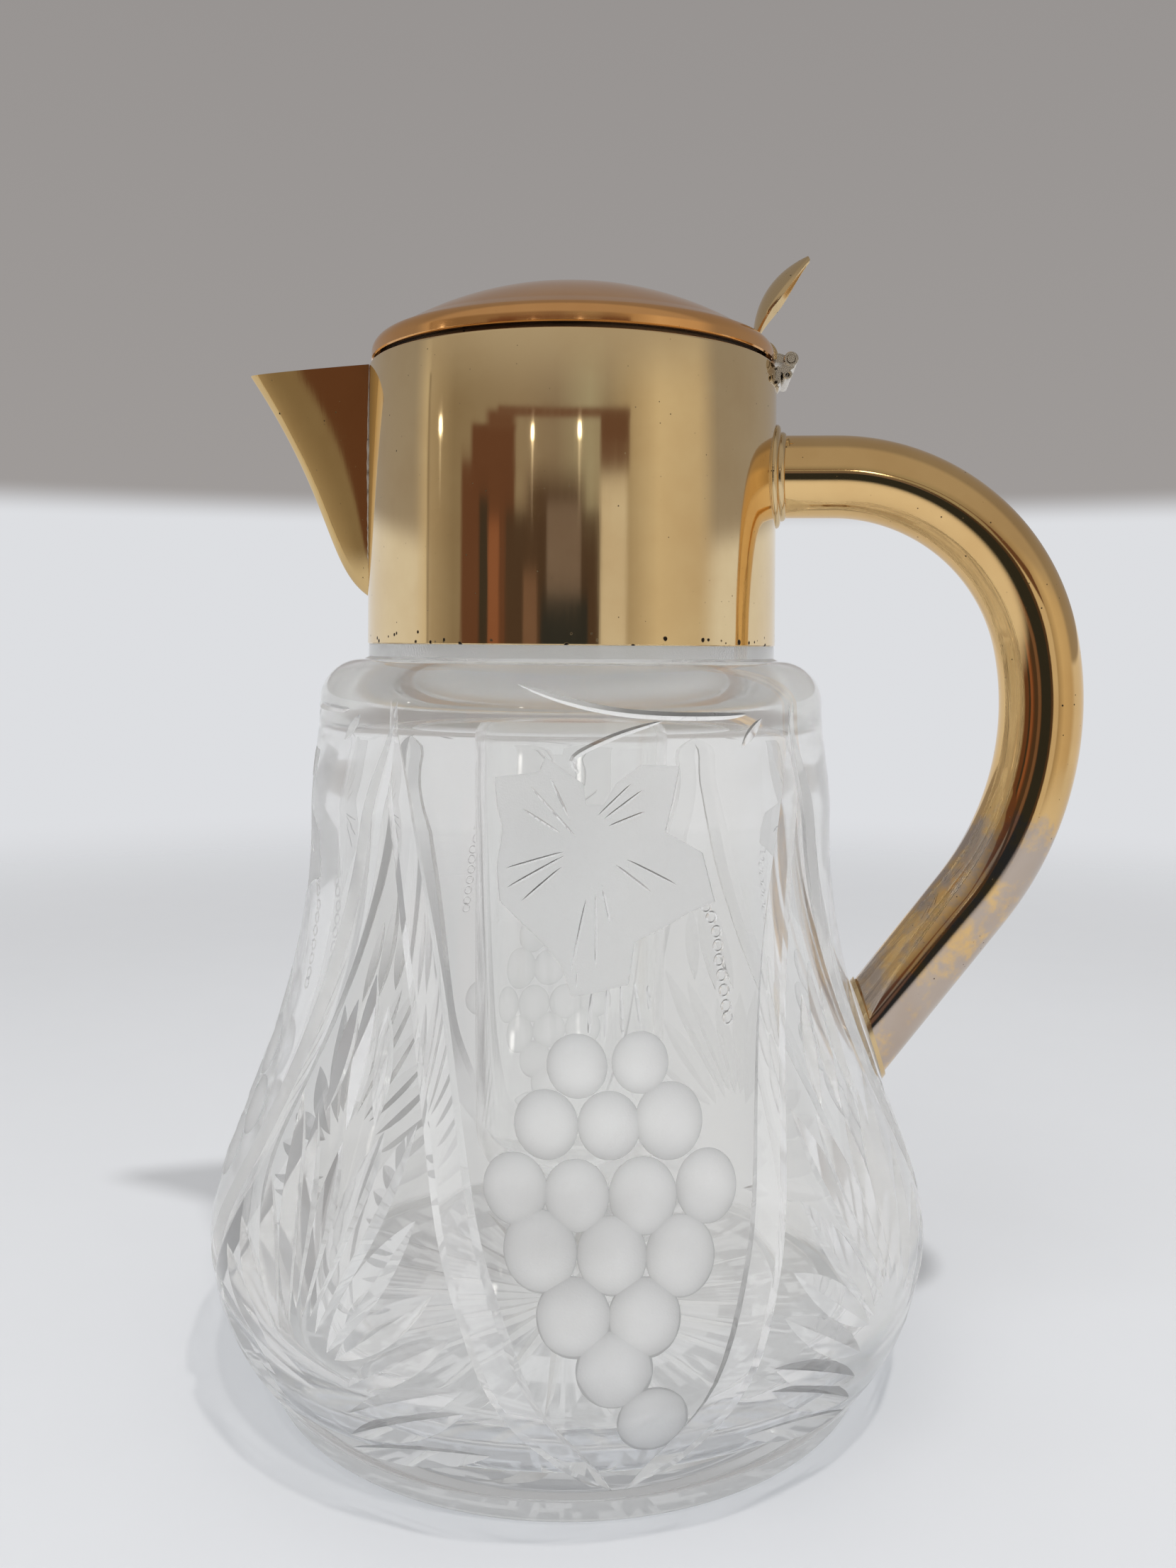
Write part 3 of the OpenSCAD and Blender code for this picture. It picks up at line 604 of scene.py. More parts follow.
def channel(points, az0, side):
    """Panel edge: steep narrow face on the panel's side, broad flat and a lip on the fan's side."""
    def profile(d):
        w, under = FLAT_WIDTH * max(d, 0.05), FLAT_DEPTH * max(d, 0.0)
        row = ((0, -d), (w, -under - min(d, 0.0)), (w + (under + EDGE_LIFT) * FAN_LEAN, EDGE_LIFT),
               (-(d + EDGE_LIFT) * PANEL_LEAN, EDGE_LIFT))
        return [(x * side, h) for x, h in row]
    return sweep_cut(points, az0, profile)


def blade(p0, p1, az0, width, depth, n=14, over=0.05):
    """Lens-shaped cut from p0 to p1, as a grinding wheel leaves it."""
    points = []
    for i in range(n + 1):
        t = mix(-over, 1 + over, i / n)
        points.append((mix(p0[0], p1[0], t), mix(p0[1], p1[1], t), depth * (1 - (2 * t - 1) ** 2)))
    return groove(points, az0, width / 2 / depth, lift=0.7)


def line_cut(points, az0, width, depth, n=5):
    """Thin engraved line through (s, z) points, pointed at both ends."""
    line = smooth_line(points, n)
    last = len(line) - 1
    return groove([(s, z, depth * (1.04 - 1.2 * (2 * i / last - 1) ** 4)) for i, (s, z) in enumerate(line)],
                  az0, width / 2 / depth, lift=0.4)


def hollow(s, z, az0, radius, depth):
    """Shallow round cut with a rounded bottom."""
    rings, n, reach = 7, 36, 1.2

    def ring(q, out):
        return [on_glass(s + q * radius * c, z + q * radius * h, az0, out)[0] for c, h in circle(n)]

    verts = [on_glass(s, z, az0, -depth)[0]]
    for k in range(1, rings + 1):
        q = reach * k / rings
        verts += ring(q, -depth * (1 - q * q))
    verts += ring(reach, CLEAR_OUT)
    faces = [(0, 1 + (i + 1) % n, 1 + i) for i in range(n)]
    for k in range(rings):
        faces += band(1 + k * n, 1 + (k + 1) * n, n)
    return verts, faces + [tuple(1 + rings * n + i for i in range(n))]


def bead_ring(s, z, az0, radius, width, depth):
    """Small engraved ring."""
    wide, high = width * 0.75, 0.25 * depth
    section = ((radius, -depth), (radius + wide, high), (radius - wide, high))
    return loft([[on_glass(s + q * c, z + q * h, az0, out)[0] for q, out in section]
                 for c, h in circle(20)], closed=True)


def leaf_slab(outline, az0, depth):
    """Flat-bottomed cut in the shape of a closed (s, z) outline that follows the glass."""
    cell, lift = 3.0, 1.2
    bm = bmesh.new()
    bm.faces.new([bm.verts.new((s, z, 0)) for s, z in outline])
    for axis in (0, 1):
        low, high = (pick(p[axis] for p in outline) for pick in (min, max))
        at = low + cell + 0.013
        while at < high - 0.2:
            co, no = Vector((0, 0, 0)), Vector((0, 0, 0))
            co[axis], no[axis] = at, 1
            bmesh.ops.bisect_plane(bm, geom=bm.verts[:] + bm.edges[:] + bm.faces[:],
                                   plane_co=co, plane_no=no, dist=1e-5)
            at += cell
    bmesh.ops.triangulate(bm, faces=bm.faces[:])
    bm.verts.index_update()
    flat = [(v.co.x, v.co.y) for v in bm.verts]
    tris = [tuple(v.index for v in f.verts) for f in bm.faces]
    rim = [(e.verts[0].index, e.verts[1].index) for e in bm.edges if len(e.link_faces) == 1]
    bm.free()
    k = len(flat)
    verts = [on_glass(s, z, az0, out)[0] for out in (-depth, lift) for s, z in flat]
    faces = tris + [tuple(i + k for i in reversed(f)) for f in tris]
    return verts, faces + [(a, b, b + k, a + k) for a, b in rim]


def star_ray(turn):
    """Ray pair across the foot's underside, with a point at each end."""
    sections = []
    c, s = cos(turn), sin(turn)
    for x in [-STAR_R * 1.03 + STAR_R * 2.06 * i / 24 for i in range(25)]:
        d = STAR_DEPTH * min(1.0, (STAR_R - abs(x)) / (STAR_R * 0.7))
        sections.append([(x * c - y * s, x * s + y * c, z)
                         for y, z in ((0, d), (1.3 * (d + 1), -1), (-1.3 * (d + 1), -1))])
    return loft(sections)


PANEL_EDGE = [
    (8.5, -4), (10, 0), (11.5, 1.4), (17, 5), (22.7, 10), (35, 19.7), (53, 27), (66, 30.8),
    (83, 33.5), (97, 35.5), (111, 37.8), (135, 42.6), (150, 45.6), (160, 47.6), (166, 48.8),
    (170, 49.6)]
EDGE_DEPTH = [
    (8.5, -0.5), (11, 0.0), (20, 1.2), (40, 1.8), (120, 1.8), (150, 1.3), (165, 0.25), (168, 0.0),
    (170, -0.4)]
FAN_BLADES = [
    ((7, 13), (42, 21.3)), ((9.5, 18), (38.5, 31)), ((11.5, 24.5), (38.5, 36)),
    ((12, 30.7), (35, 45.5)), ((9.5, 36), (30, 53)), ((7.3, 37), (22.5, 65.3)),
    ((4, 40), (17.5, 82.5)), ((2.2, 43), (10.2, 80))]
HIGH_BLADES = [((0, 42), (0, 76)), ((0, 78), (0, 110))]
HIGH_SIDE, SPRIG = ((7.5, 80), (4.5, 104)), ((-18, 158.6), (-11.2, 164.7))
LEAF = [
    (-23.7, 153.1), (-17.6, 153.9), (-14.2, 154.4), (-13.1, 157.4), (-5.4, 152), (-4.9, 147.8),
    (-1.2, 147.8), (1.3, 152), (6.7, 155.8), (15.1, 155.3), (13.4, 148.1), (11.7, 142),
    (20.4, 137.2), (23.5, 126.8), (17, 124.9), (12.8, 122.8), (5.1, 119.6), (4.3, 114.8),
    (3.7, 111.2), (-3.8, 109.6), (-8, 109), (-9.8, 114.7), (-12.8, 118.6), (-17.7, 123.2),
    (-22.7, 127.8), (-23.3, 135.2), (-22, 142.6), (-23.2, 147.5)]
VEINS = [
    ((-6.3, 140.5), (-16.9, 152.2)), ((-7.9, 144.1), (-12.4, 153.8)),
    ((-9.7, 141.8), (-18.4, 147.2)), ((-3, 145.1), (5.1, 152.5)), ((-1.8, 144.5), (7.5, 151.1)),
    ((-0.9, 143.2), (7.9, 146.5)), ((-8.5, 138.5), (-22.3, 134.3)), ((-8.5, 137.9), (-22.1, 130.1)),
    ((-9.2, 135.7), (-18.8, 127.4)), ((0.7, 135.9), (9.4, 129.2)), ((2.8, 136.9), (15.2, 130.5)),
    ((-4.6, 129.6), (-8.3, 112.9)), ((-2.9, 130.7), (-3, 113.5)), ((-1.7, 132), (0.2, 123))]
STEM = [(32.8, 165.7), (26.1, 165.4), (11.8, 165.7), (0.3, 166.8), (-10, 169.1), (-19.1, 172.2)]
FORK = [(11.8, 164.8), (1.4, 161.7), (-7.2, 157.4), (-6.3, 154.1)]
STUBS = [
    ((-6.8, 114.4), (-7.1, 110.2)), ((-3.8, 110.2), (-4.8, 101.3)), ((-0.7, 110.8), (-1.5, 100.3)),
    ((2.1, 111.3), (2.2, 100.5)), ((4.9, 111.8), (6, 102.8)), ((7.8, 110.9), (8, 105.6))]
TENDRIL = [(21.3, 125.9), (23.8, 120.4), (24.3, 114.5), (25.3, 108.2), (25.9, 102.6)]
GRAPES = [
    (-7.3, 95.6, 6.2), (5.7, 95.9, 6), (-13.9, 84.7, 6.5), (-1.2, 84.4, 6.4), (11.3, 84.6, 7.3),
    (-20.5, 73, 6.5), (-8.3, 72, 6.5), (5, 71.5, 7), (18.6, 72, 6.8), (-15.9, 62.3, 7.3),
    (-1.8, 61.4, 7), (12, 60.4, 7.3), (-9.8, 50.8, 7.3), (4.1, 50.2, 7.3), (-2.1, 41.1, 7.6),
    (5.6, 30.1, 7.2)]
# Places of the finishes in GLASS_SLOTS
CLEAR_CUT, GROUND_CUT, LEAF_CUT = 1, 2, 3
# Width and depth of each kind of cut, and radius, width and depth of a bead
FAN_CUT, HIGH_CUT, SIDE_CUT, SPRIG_CUT = (7.6, 1.6), (6.4, 1.4), (5.2, 1.2), (2.4, 0.8)
VEIN_CUT, STEM_CUT, FORK_CUT, STUB_CUT = (1.1, 0.62), (1.7, 0.6), (1.3, 0.5), (0.9, 0.45)
BEAD_CUT, LEAF_DEPTH, CLEAR_OUT = (1.15, 0.5, 0.25), 0.3, 3.0


def panels(make, middle=PANEL_AZ):
    """The same cut in each of the four panels, or with FAN_AZ in each of the four fans."""
    return [make(middle + 2 * pi * k / PANELS) for k in range(PANELS)]


def mid(a, b):
    return tuple((x + y) / 2 for x, y in zip(a, b))


def paint(obj, index):
    obj.data.polygons.foreach_set("material_index", [index] * len(obj.data.polygons))


def glass_cutters():
    cuts = []

    def cut(shapes, face=CLEAR_CUT):
        cuts.append(make_object("cutter", join_shapes(shapes), GLASS_SLOTS))
        paint(cuts[-1], face)

    def both_sides(p0, p1, size):
        shapes = []
        for side in (1, -1):
            a, b = (side * p0[0], p0[1]), (side * p1[0], p1[1])
            shapes += panels(lambda az: blade(a, b, az, *size), FAN_AZ)
        return shapes

    def lines(pairs, size):
        shapes = []
        for p0, p1 in pairs:
            shapes += panels(lambda az: line_cut([p0, mid(p0, p1), p1], az, *size))
        return shapes

    edge = smooth_line(PANEL_EDGE, 4)
    for side in (1, -1):
        line = [(side * s, z, along(EDGE_DEPTH, z)) for z, s in edge]
        cut(panels(lambda az: channel(line, az, side)))
    for p0, p1 in FAN_BLADES:
        cut(both_sides(p0, p1, FAN_CUT))
    for p0, p1 in HIGH_BLADES:
        cut(panels(lambda az: blade(p0, p1, az, *HIGH_CUT), FAN_AZ))
    cut(both_sides(*HIGH_SIDE, SIDE_CUT))
    cut(panels(lambda az: blade(*SPRIG, az, *SPRIG_CUT), FAN_AZ))
    cut(panels(lambda az: leaf_slab(LEAF, az, LEAF_DEPTH)), LEAF_CUT)
    for s, z, r in GRAPES:
        cut(panels(lambda az: hollow(s, z, az, r, DEEP)), GROUND_CUT)
    for third in range(3):
        cut(lines(VEINS[third::3], VEIN_CUT))
    cut(panels(lambda az: line_cut(STEM, az, *STEM_CUT)))
    cut(panels(lambda az: line_cut(FORK, az, *FORK_CUT)))
    cut(lines(STUBS, STUB_CUT))
    shapes = []
    for s, z in smooth_line(TENDRIL, 2):
        shapes += panels(lambda az: bead_ring(s, z, az, *BEAD_CUT))
    cut(shapes)
    for i in range(STAR_RAYS // 2):
        cut([star_ray(2 * pi * i / STAR_RAYS)])
    return cuts


def true_normals(me):
    """Gives the uncut faces of the glass the normals of the turned shape they lie on."""
    lines = [(Vector(p), Vector(q)) for line in (outer_line(), inner_line())
             for p, q in zip(line, line[1:])]
    soft = {}

    def line_normal(r, z):
        key = (round(r, 2), round(z, 2))
        if key not in soft:
            spots = []
            p = Vector((r, z))
            for i, (a, b) in enumerate(lines):
                d = b - a
                t = max(0.0, min(1.0, (p - a).dot(d) / max(1e-9, d.dot(d))))
                spots.append(((a + d * t - p).length, i, t))
            gap, i, t = min(spots)

            def facing(j):
                a, b = lines[max(0, min(len(lines) - 1, j))]
                return Vector(((b - a).y, -(b - a).x)).normalized()
            own = facing(i)
            near = facing(i + 1 if t > 0.5 else i - 1)
            w = abs(t - 0.5)
            n = own if own.dot(near) < 0.94 else (own * (1 - w) + near * w).normalized()
            soft[key] = (gap, n)
        return soft[key]

    normals = [(0.0, 0.0, 0.0)] * len(me.loops)
    for poly in me.polygons:
        if poly.material_index:
            continue
        for li in poly.loop_indices:
            x, y, z = me.vertices[me.loops[li].vertex_index].co / MM
            r = hypot(x, y)
            if r < 1e-3:
                continue
            gap, n = line_normal(r, z)
            own = Vector((n.x * x / r, n.x * y / r, n.y))
            if gap < 0.05 and own.dot(poly.normal) > 0.995:
                normals[li] = tuple(own)
    me.normals_split_custom_set(normals)


def make_glass():
    glass = make_object("cut_glass_body", revolve(outer_line() + inner_line()), GLASS_SLOTS)
    outward(glass)
    for poly in glass.data.polygons:
        across = hypot(poly.center.x, poly.center.y)
        if poly.center.z > (COLLAR_Z - 0.1 if across > NECK_BORE + 3 else SHOULDER_Z + 6):
            poly.material_index = GROUND_CUT
    combine(glass, glass_cutters())
    finish_piece(glass, "jug", "cut_glass", "glass_body", angle=11.0)
    true_normals(glass.data)


# ---- Ice tube ----

def make_ice_tube():
    rim = SEAT_Z + REST_GAP
    centre = ICE_R - ICE_ROUND
    line = ([(0, ICE_Z)] + arc((centre, ICE_Z + ICE_ROUND), ICE_ROUND, -90, 0, 14)
            + [(ICE_R, rim - 1.2), (ICE_R + 0.4, rim - 0.3), (ICE_R + 1.2, rim)]
            + arc((ICE_RIM_R - 1.5, rim + 1.5), 1.5, -90, 0, 5)
            + arc((ICE_RIM_R - 1.5, rim + ICE_RIM_T - 1.5), 1.5, 0, 90, 5)
            + arc((ICE_R - ICE_WALL + 1.5, rim + ICE_RIM_T - 1.5), 1.5, 90, 180, 5)
            + arc((centre, ICE_Z + ICE_ROUND + ICE_WALL), ICE_ROUND - ICE_WALL, 0, -90, 14)
            + [(0, ICE_Z + 2 * ICE_WALL)])
    tube = make_object("ice_tube_glass", revolve(line, 160), (tube_clear,))
    finish_piece(tube, "ice", "tube_glass", "ice_tube", angle=40)


# ---- Collar, spout and their solder ----

def make_collar():
    lip = COLLAR_WALL / 2
    levels = (COLLAR_Z + 20, COLLAR_Z + 42, COLLAR_TOP - lip)
    outer = [(collar_r_at(z), z) for z in (COLLAR_Z + 0.25, *levels)]
    inner = [(collar_r_at(z) - COLLAR_WALL, z) for z in (*levels[::-1], COLLAR_Z)]
    top = arc((collar_r_at(COLLAR_TOP - lip) - lip, COLLAR_TOP - lip), lip, 0, 180, 8)[1:-1]
    line = [(collar_r_at(COLLAR_Z) - 0.25, COLLAR_Z)] + outer + top + inner
    collar = make_object("gilt_collar", revolve(line), (collar_gilt,))
    holes = []
    low, high = COLLAR_TOP - SPOUT_H + 13, SEAT_Z - 5
    for row in range(6):
        half = 0 if row < 2 else 1
        for k in range(-half, half + 1):
            a = pi + radians(k * 4.6)
            z = mix(low, high, row / 5)
            side = Vector((-sin(a), cos(a), 0))
            out = Vector((cos(a), sin(a), 0))
            ring = [side * HOLE_R * c + Vector((0, 0, z + HOLE_R * s)) for c, s in circle(24)]
            holes.append(loft([[p + out * d for p in ring] for d in (COLLAR_R - 5, COLLAR_R + 3)]))
    combine(collar, [make_object("cutter", join_shapes(holes))])
    finish_piece(collar, "jug", "gilt", "collar")


KEEL = [(collar_r_at(COLLAR_TOP - SPOUT_H) - 0.3, COLLAR_TOP - SPOUT_H),
        (COLLAR_R + 12, COLLAR_TOP - SPOUT_H + 6.5), (COLLAR_R + 8.5, COLLAR_TOP - 32.5),
        (COLLAR_TOP_R + SPOUT_REACH, COLLAR_TOP)]


def spout_half(k):
    out = max(0.02, k[0] - collar_r_at(k[1]))
    return out, SPOUT_HALF_W * (out / SPOUT_REACH) ** 0.62


def spout_section(k, inset, rise=0.0):
    """Section across the spout at one height: a V with a rounded keel."""
    steps = 12
    wall_r = collar_r_at(k[1])
    out, half = spout_half(k)
    lean = atan2(half, out)
    out_in, half_in = out - inset / sin(lean), half - inset / cos(lean)
    soft = sqrt(1 + KEEL_SOFT ** 2) - KEEL_SOFT
    z = k[1] + rise
    row = [(-(COLLAR_R - 10), -half_in, z)]
    for j in range(-steps, steps + 1):
        s = j / steps
        v = (sqrt(s * s + KEEL_SOFT ** 2) - KEEL_SOFT) / soft
        row.append((-(wall_r + out_in * (1 - v)) + 3 * v ** 3, half_in * s, z))
    return row + [(-(COLLAR_R - 10), half_in, z)]


def make_spout():
    steps = 44
    ks = [bez(KEEL, 0.04 + 0.96 * i / steps) for i in range(steps + 1)]
    spout = make_object("gilt_spout", loft([spout_section(k, 0) for k in ks]), (spout_gilt,))
    inside = [spout_section(k, SPOUT_WALL) for k in ks[12:]] + [spout_section(ks[-1], SPOUT_WALL, rise=2.0)]
    barrel = revolve([(0, COLLAR_Z - 5), (collar_r_at(COLLAR_Z - 5) + SOLDER, COLLAR_Z - 5),
                      (collar_r_at(COLLAR_TOP + 5) + SOLDER, COLLAR_TOP + 5), (0, COLLAR_TOP + 5)])
    outward(spout)
    combine(spout, [make_object("cutter", loft(inside)), make_object("cutter", barrel)])
    finish_piece(spout, "jug", "gilt", "spout", angle=35)


def tube_along(points, radii, n):
    """Round rod of varying radius along a line of points."""
    pts = [Vector(p) for p in points]
    last = len(pts) - 1
    sections = []
    side = (pts[1] - pts[0]).orthogonal().normalized()
    for i, p in enumerate(pts):
        t = (pts[min(last, i + 1)] - pts[max(0, i - 1)]).normalized()
        side = (side - t * side.dot(t)).normalized()
        up = t.cross(side)
        sections.append([p + side * radii[i] * c + up * radii[i] * s for c, s in circle(n)])
    return loft(sections)


def make_spout_solder():
    """Thin uneven bead where the spout's sides meet the collar."""
    shapes = []
    for side in (1, -1):
        points, radii = [], []
        for i in range(61):
            k = bez(KEEL, 0.05 + 0.935 * i / 60)
            out, half = spout_half(k)
            y = side * (half + 0.05)
            r = collar_r_at(k[1])
            points.append((-sqrt(r * r - y * y) - 0.08, y, k[1]))
            radii.append(mix(0.30, 0.46, chance.random())
                         * min(1.0, 4 * (61 - i) / 61, 4 * (i + 1) / 61))
        shapes.append(tube_along(points, radii, 8))
    seam = make_object("spout_solder", join_shapes(shapes), (solder,))
    finish_piece(seam, "jug", "worn_gilt", angle=60)


# ---- Lid ----

EDGE_R = LID_R - LID_EDGE
EDGE_Z = LID_Z + LID_RIM_H + LID_EDGE
DOME_R = (EDGE_R ** 2 + DOME_RISE ** 2) / (2 * DOME_RISE)
DOME_TOP = EDGE_Z + DOME_RISE


def lid_outline(grow):
    lean = asin(EDGE_R / DOME_R)
    c = DOME_TOP - DOME_R
    line = [(LID_R + grow, LID_Z - max(0, grow)), (LID_R + grow, LID_Z + LID_RIM_H)]
    line += arc((EDGE_R, EDGE_Z - LID_EDGE), LID_EDGE + grow, 0, 90 - degrees(lean), 12)[1:]
    for i in range(1, 31):
        a = lean * (1 - i / 30)
        line.append(((DOME_R + grow) * sin(a), c + (DOME_R + grow) * cos(a)))
    line[-1] = (0, line[-1][1])
    return line


def make_lid():
    outer = lid_outline(0)
    outer = [(LID_R - 0.3, LID_Z), (LID_R, LID_Z + 0.3)] + outer[1:]
    lid = make_object("lid_dome", revolve(outer + lid_outline(-LID_WALL)[::-1]), (lid_gilt,))
    finish_piece(lid, "lid", "gilt_lid", "lid", angle=40)


def dome_z(r):
    """Height of the lid's outer face at a radius."""
    return along(lid_outline(0)[::-1], r)


# ---- Hinge ----

def bar(outline, y0, y1):
    """Bar along Y with an (x, z) outline."""
    return loft([[(x, y, z) for x, z in outline] for y in (y0, y1)])


def ring_bar(x, z, r_out, r_in, y0, y1, n=40):
    """Knuckle: short tube along Y with rounded end edges."""
    e = min(0.15, (r_out - r_in) / 3)
    line = [(r_in, y0 + e), (r_in + e, y0), (r_out - e, y0), (r_out, y0 + e),
            (r_out, y1 - e), (r_out - e, y1), (r_in + e, y1), (r_in, y1 - e)]
    return loft([[(x + r * c, y, z + r * s) for r, y in line] for c, s in circle(n)], closed=True)


def make_collar_hinge():
    """Two outer knuckles rolled from a plate that is soldered to the collar's top edge."""
    gap = 0.2
    foot_z = HINGE_Z - KNUCKLE_R - 5.2 + 1
    base = make_object("collar_hinge_knuckles", ring_bar(HINGE_X, HINGE_Z, KNUCKLE_R, PIN_R + SOLDER,
                                                         MIDDLE_W / 2 + gap, HINGE_W / 2), (hinge_silver,))
    outward(base)
    parts = [make_object("part", ring_bar(HINGE_X, HINGE_Z, KNUCKLE_R, PIN_R + SOLDER,
                                          -HINGE_W / 2, -MIDDLE_W / 2 - gap))]
    plate = []
    for i in range(17):
        y = mix(-HINGE_W / 2, HINGE_W / 2, i / 16)
        r0 = sqrt(COLLAR_TOP_R ** 2 - y * y) + 0.05
        plate.append([(r0, y, foot_z + 0.4), (r0 + 0.5, y, foot_z), (r0 + 1.0, y, foot_z + 0.5),
                      (r0 + 1.2, y, COLLAR_TOP - 0.6), (r0 + 0.6, y, COLLAR_TOP - 0.1),
                      (r0, y, COLLAR_TOP - 0.3)])
    parts.append(make_object("part", loft(plate)))
    for lo, hi in ((MIDDLE_W / 2 + gap, HINGE_W / 2), (-HINGE_W / 2, -MIDDLE_W / 2 - gap)):
        web = [(49.2, 244.2), (50.6, 243.6), (52.6, 245.0), (52.9, 245.9), (51.2, 245.75), (50.5, 246.2),
               (49.7, 245.3)]
        parts.append(make_object("part", bar(web, lo + 0.05, hi - 0.05)))
    combine(base, parts, "UNION")
    finish_piece(base, "jug", "plated_silver", "collar_hinge_leaf", angle=35)
    curl = make_object("hinge_curl", ring_bar(HINGE_X - 0.75, HINGE_Z - 3.5, 1.1, 0.45, -HINGE_W / 2 + 0.1,
                                              HINGE_W / 2 - 0.1, 28), (hinge_silver,))
    finish_piece(curl, "jug", "plated_silver", angle=35)


def make_lid_hinge():
    """Strap over the lid's edge that ends in the middle knuckle."""
    edge = arc((EDGE_R, EDGE_Z - LID_EDGE), LID_EDGE, 55, 0, 8)
    flat = [LID_R - 10.4 + i * 10.0 / 20 for i in range(21)]
    path = [(x, dome_z(x)) for x in flat if x < edge[0][0] - 0.3]
    path += edge + [(LID_R, LID_Z + LID_RIM_H * 0.75)]
    half = MIDDLE_W / 2
    rows = []
    for i, (x, z) in enumerate(path):
        a, b = path[max(0, i - 1)], path[min(len(path) - 1, i + 1)]
        d = Vector((b[0] - a[0], b[1] - a[1])).normalized()
        n = Vector((-d.y, d.x))
        thick = 0.95 * min(1.0, 0.25 + i / 5)
        w = half * min(1.0, 0.8 + 0.2 * i / 4)
        section = []
        for y, h in ((-w, 0.02), (-w, thick * 0.55), (-w * 0.86, thick * 0.92), (0, thick),
                     (w * 0.86, thick * 0.92), (w, thick * 0.55), (w, 0.02)):
            drop = x - sqrt(max(0, x * x - y * y))
            section.append((x + n.x * h - drop, y, z + n.y * h))
        rows.append(section)
    strap = make_object("lid_hinge_strap", loft(rows), (rubbed_gilt, hinge_silver))
    outward(strap)
    knuckle = make_object("part", ring_bar(HINGE_X, HINGE_Z, KNUCKLE_R, PIN_R + 0.05, -half, half),
                          (rubbed_gilt, hinge_silver))
    web = [(48.45, 247.2), (48.6, 249.4), (49.6, 249.3), (51.3, 248.75), (51.1, 247.9), (50.4, 247.3)]
    link = make_object("part", bar(web, -half + 0.05, half - 0.05), (rubbed_gilt, hinge_silver))
    for o in (knuckle, link):
        paint(o, 1)
    combine(strap, [knuckle, link], "UNION")
    finish_piece(strap, "lid", "worn_gilt", "lid_hinge_leaf", angle=35)


def make_thumb():
    """Dished leaf on the lid, thicker along its rim."""
    x0 = LID_R - 5.2
    z0 = dome_z(x0) + 0.9
    line = [(x0, z0), (x0 + 0.2, z0 + THUMB_H * 0.5), (x0 + THUMB_LEAN * 0.42, z0 + THUMB_H * 0.82),
            (x0 + THUMB_LEAN, z0 + THUMB_H)]
    steps, across = 36, 12
    rows = []
    for i in range(steps + 1):
        s = i / steps
        p = bez(line, s)
        a, b = bez(line, max(0.0, s - 0.01)), bez(line, min(1.0, s + 0.01))
        d = Vector((b[0] - a[0], b[1] - a[1])).normalized()
        n = Vector((d.y, -d.x))
        half = THUMB_W / 2 * sin(radians(180 * (0.17 + 0.79 * s)))
        dish = THUMB_DISH * sin(radians(180 * (0.05 + 0.9 * s)))
        row = []
        for j in range(-across, across + 1):
            u = j / across
            edge = 0.12 * THUMB_T * (1 if abs(j) == across else 0)
            q = dish * u * u
            row.append((p[0] + n.x * (q + edge), half * u, p[1] + n.y * (q + edge)))
        for j in range(across, -across - 1, -1):
            u = j / across
            t = THUMB_T * (0.72 + 0.28 * abs(u) ** 6) - (0.25 * THUMB_T if abs(j) == across else 0)
            q = dish * u * u + t
            row.append((p[0] + n.x * q, half * u, p[1] + n.y * q))
        rows.append(row)
    thumb = make_object("thumb_leaf", loft(rows), (rubbed_gilt,))
    finish_piece(thumb, "lid", "worn_gilt", "thumb_piece", angle=50)


# ---- Handle ----

BEND_1 = Vector((HANDLE_X, HANDLE_Z - UPPER_BEND))
TURN_1 = radians(90 - UPPER_TURN)
BEND_2 = BEND_1 + (UPPER_BEND - LOWER_BEND) * Vector((cos(TURN_1), sin(TURN_1)))
TURN_2 = TURN_1 - radians(LOWER_TURN)
LOW_START = BEND_2 + LOWER_BEND * Vector((cos(TURN_2), sin(TURN_2)))
LOW_WAY = Vector((sin(TURN_2), -cos(TURN_2)))


def low_hit():
    """Where the middle line of the handle's lower stretch reaches the glass."""
    t = 0.0
    while True:
        p = LOW_START + LOW_WAY * t
        if p.x < r_at(p.y):
            return t, p
        t += 0.05


def plate_frame():
    """A point on the glass below the handle's end, and the outward lean of the plate there."""
    _, hit = low_hit()
    z0, z1 = hit.y - HANDLE_R, hit.y + 1.45 * HANDLE_R
    a, b = Vector((r_at(z0), z0)), Vector((r_at(z1), z1))
    up = (b - a).normalized()
    return a, up, Vector((up.y, -up.x))


def clip_tube(name, points, radius, mats, low, high):
    """Rod along (x, z) points, cut by planes `low` and `high` mm off the plate on the glass."""
    rod = make_object(name, tube_along([(x, 0, z) for x, z in points], [radius] * len(points), 96), mats)
    outward(rod)
    a, up, out = plate_frame()
    bm = bmesh.new()
    bm.from_mesh(rod.data)
    for off, inner in ((low, True), (high, False)):
        if off is None:
            continue
        co = Vector((a.x + out.x * off, 0, a.y + out.y * off))
        no = Vector((out.x, 0, out.y))
        got = bmesh.ops.bisect_plane(bm, geom=bm.verts[:] + bm.edges[:] + bm.faces[:], dist=1e-5,
                                     plane_co=co, plane_no=no, clear_inner=inner, clear_outer=not inner)
        cut = [e for e in got["geom_cut"] if isinstance(e, bmesh.types.BMEdge)]
        bmesh.ops.contextual_create(bm, geom=cut)
    bm.to_mesh(rod.data)
    bm.free()
    return rod


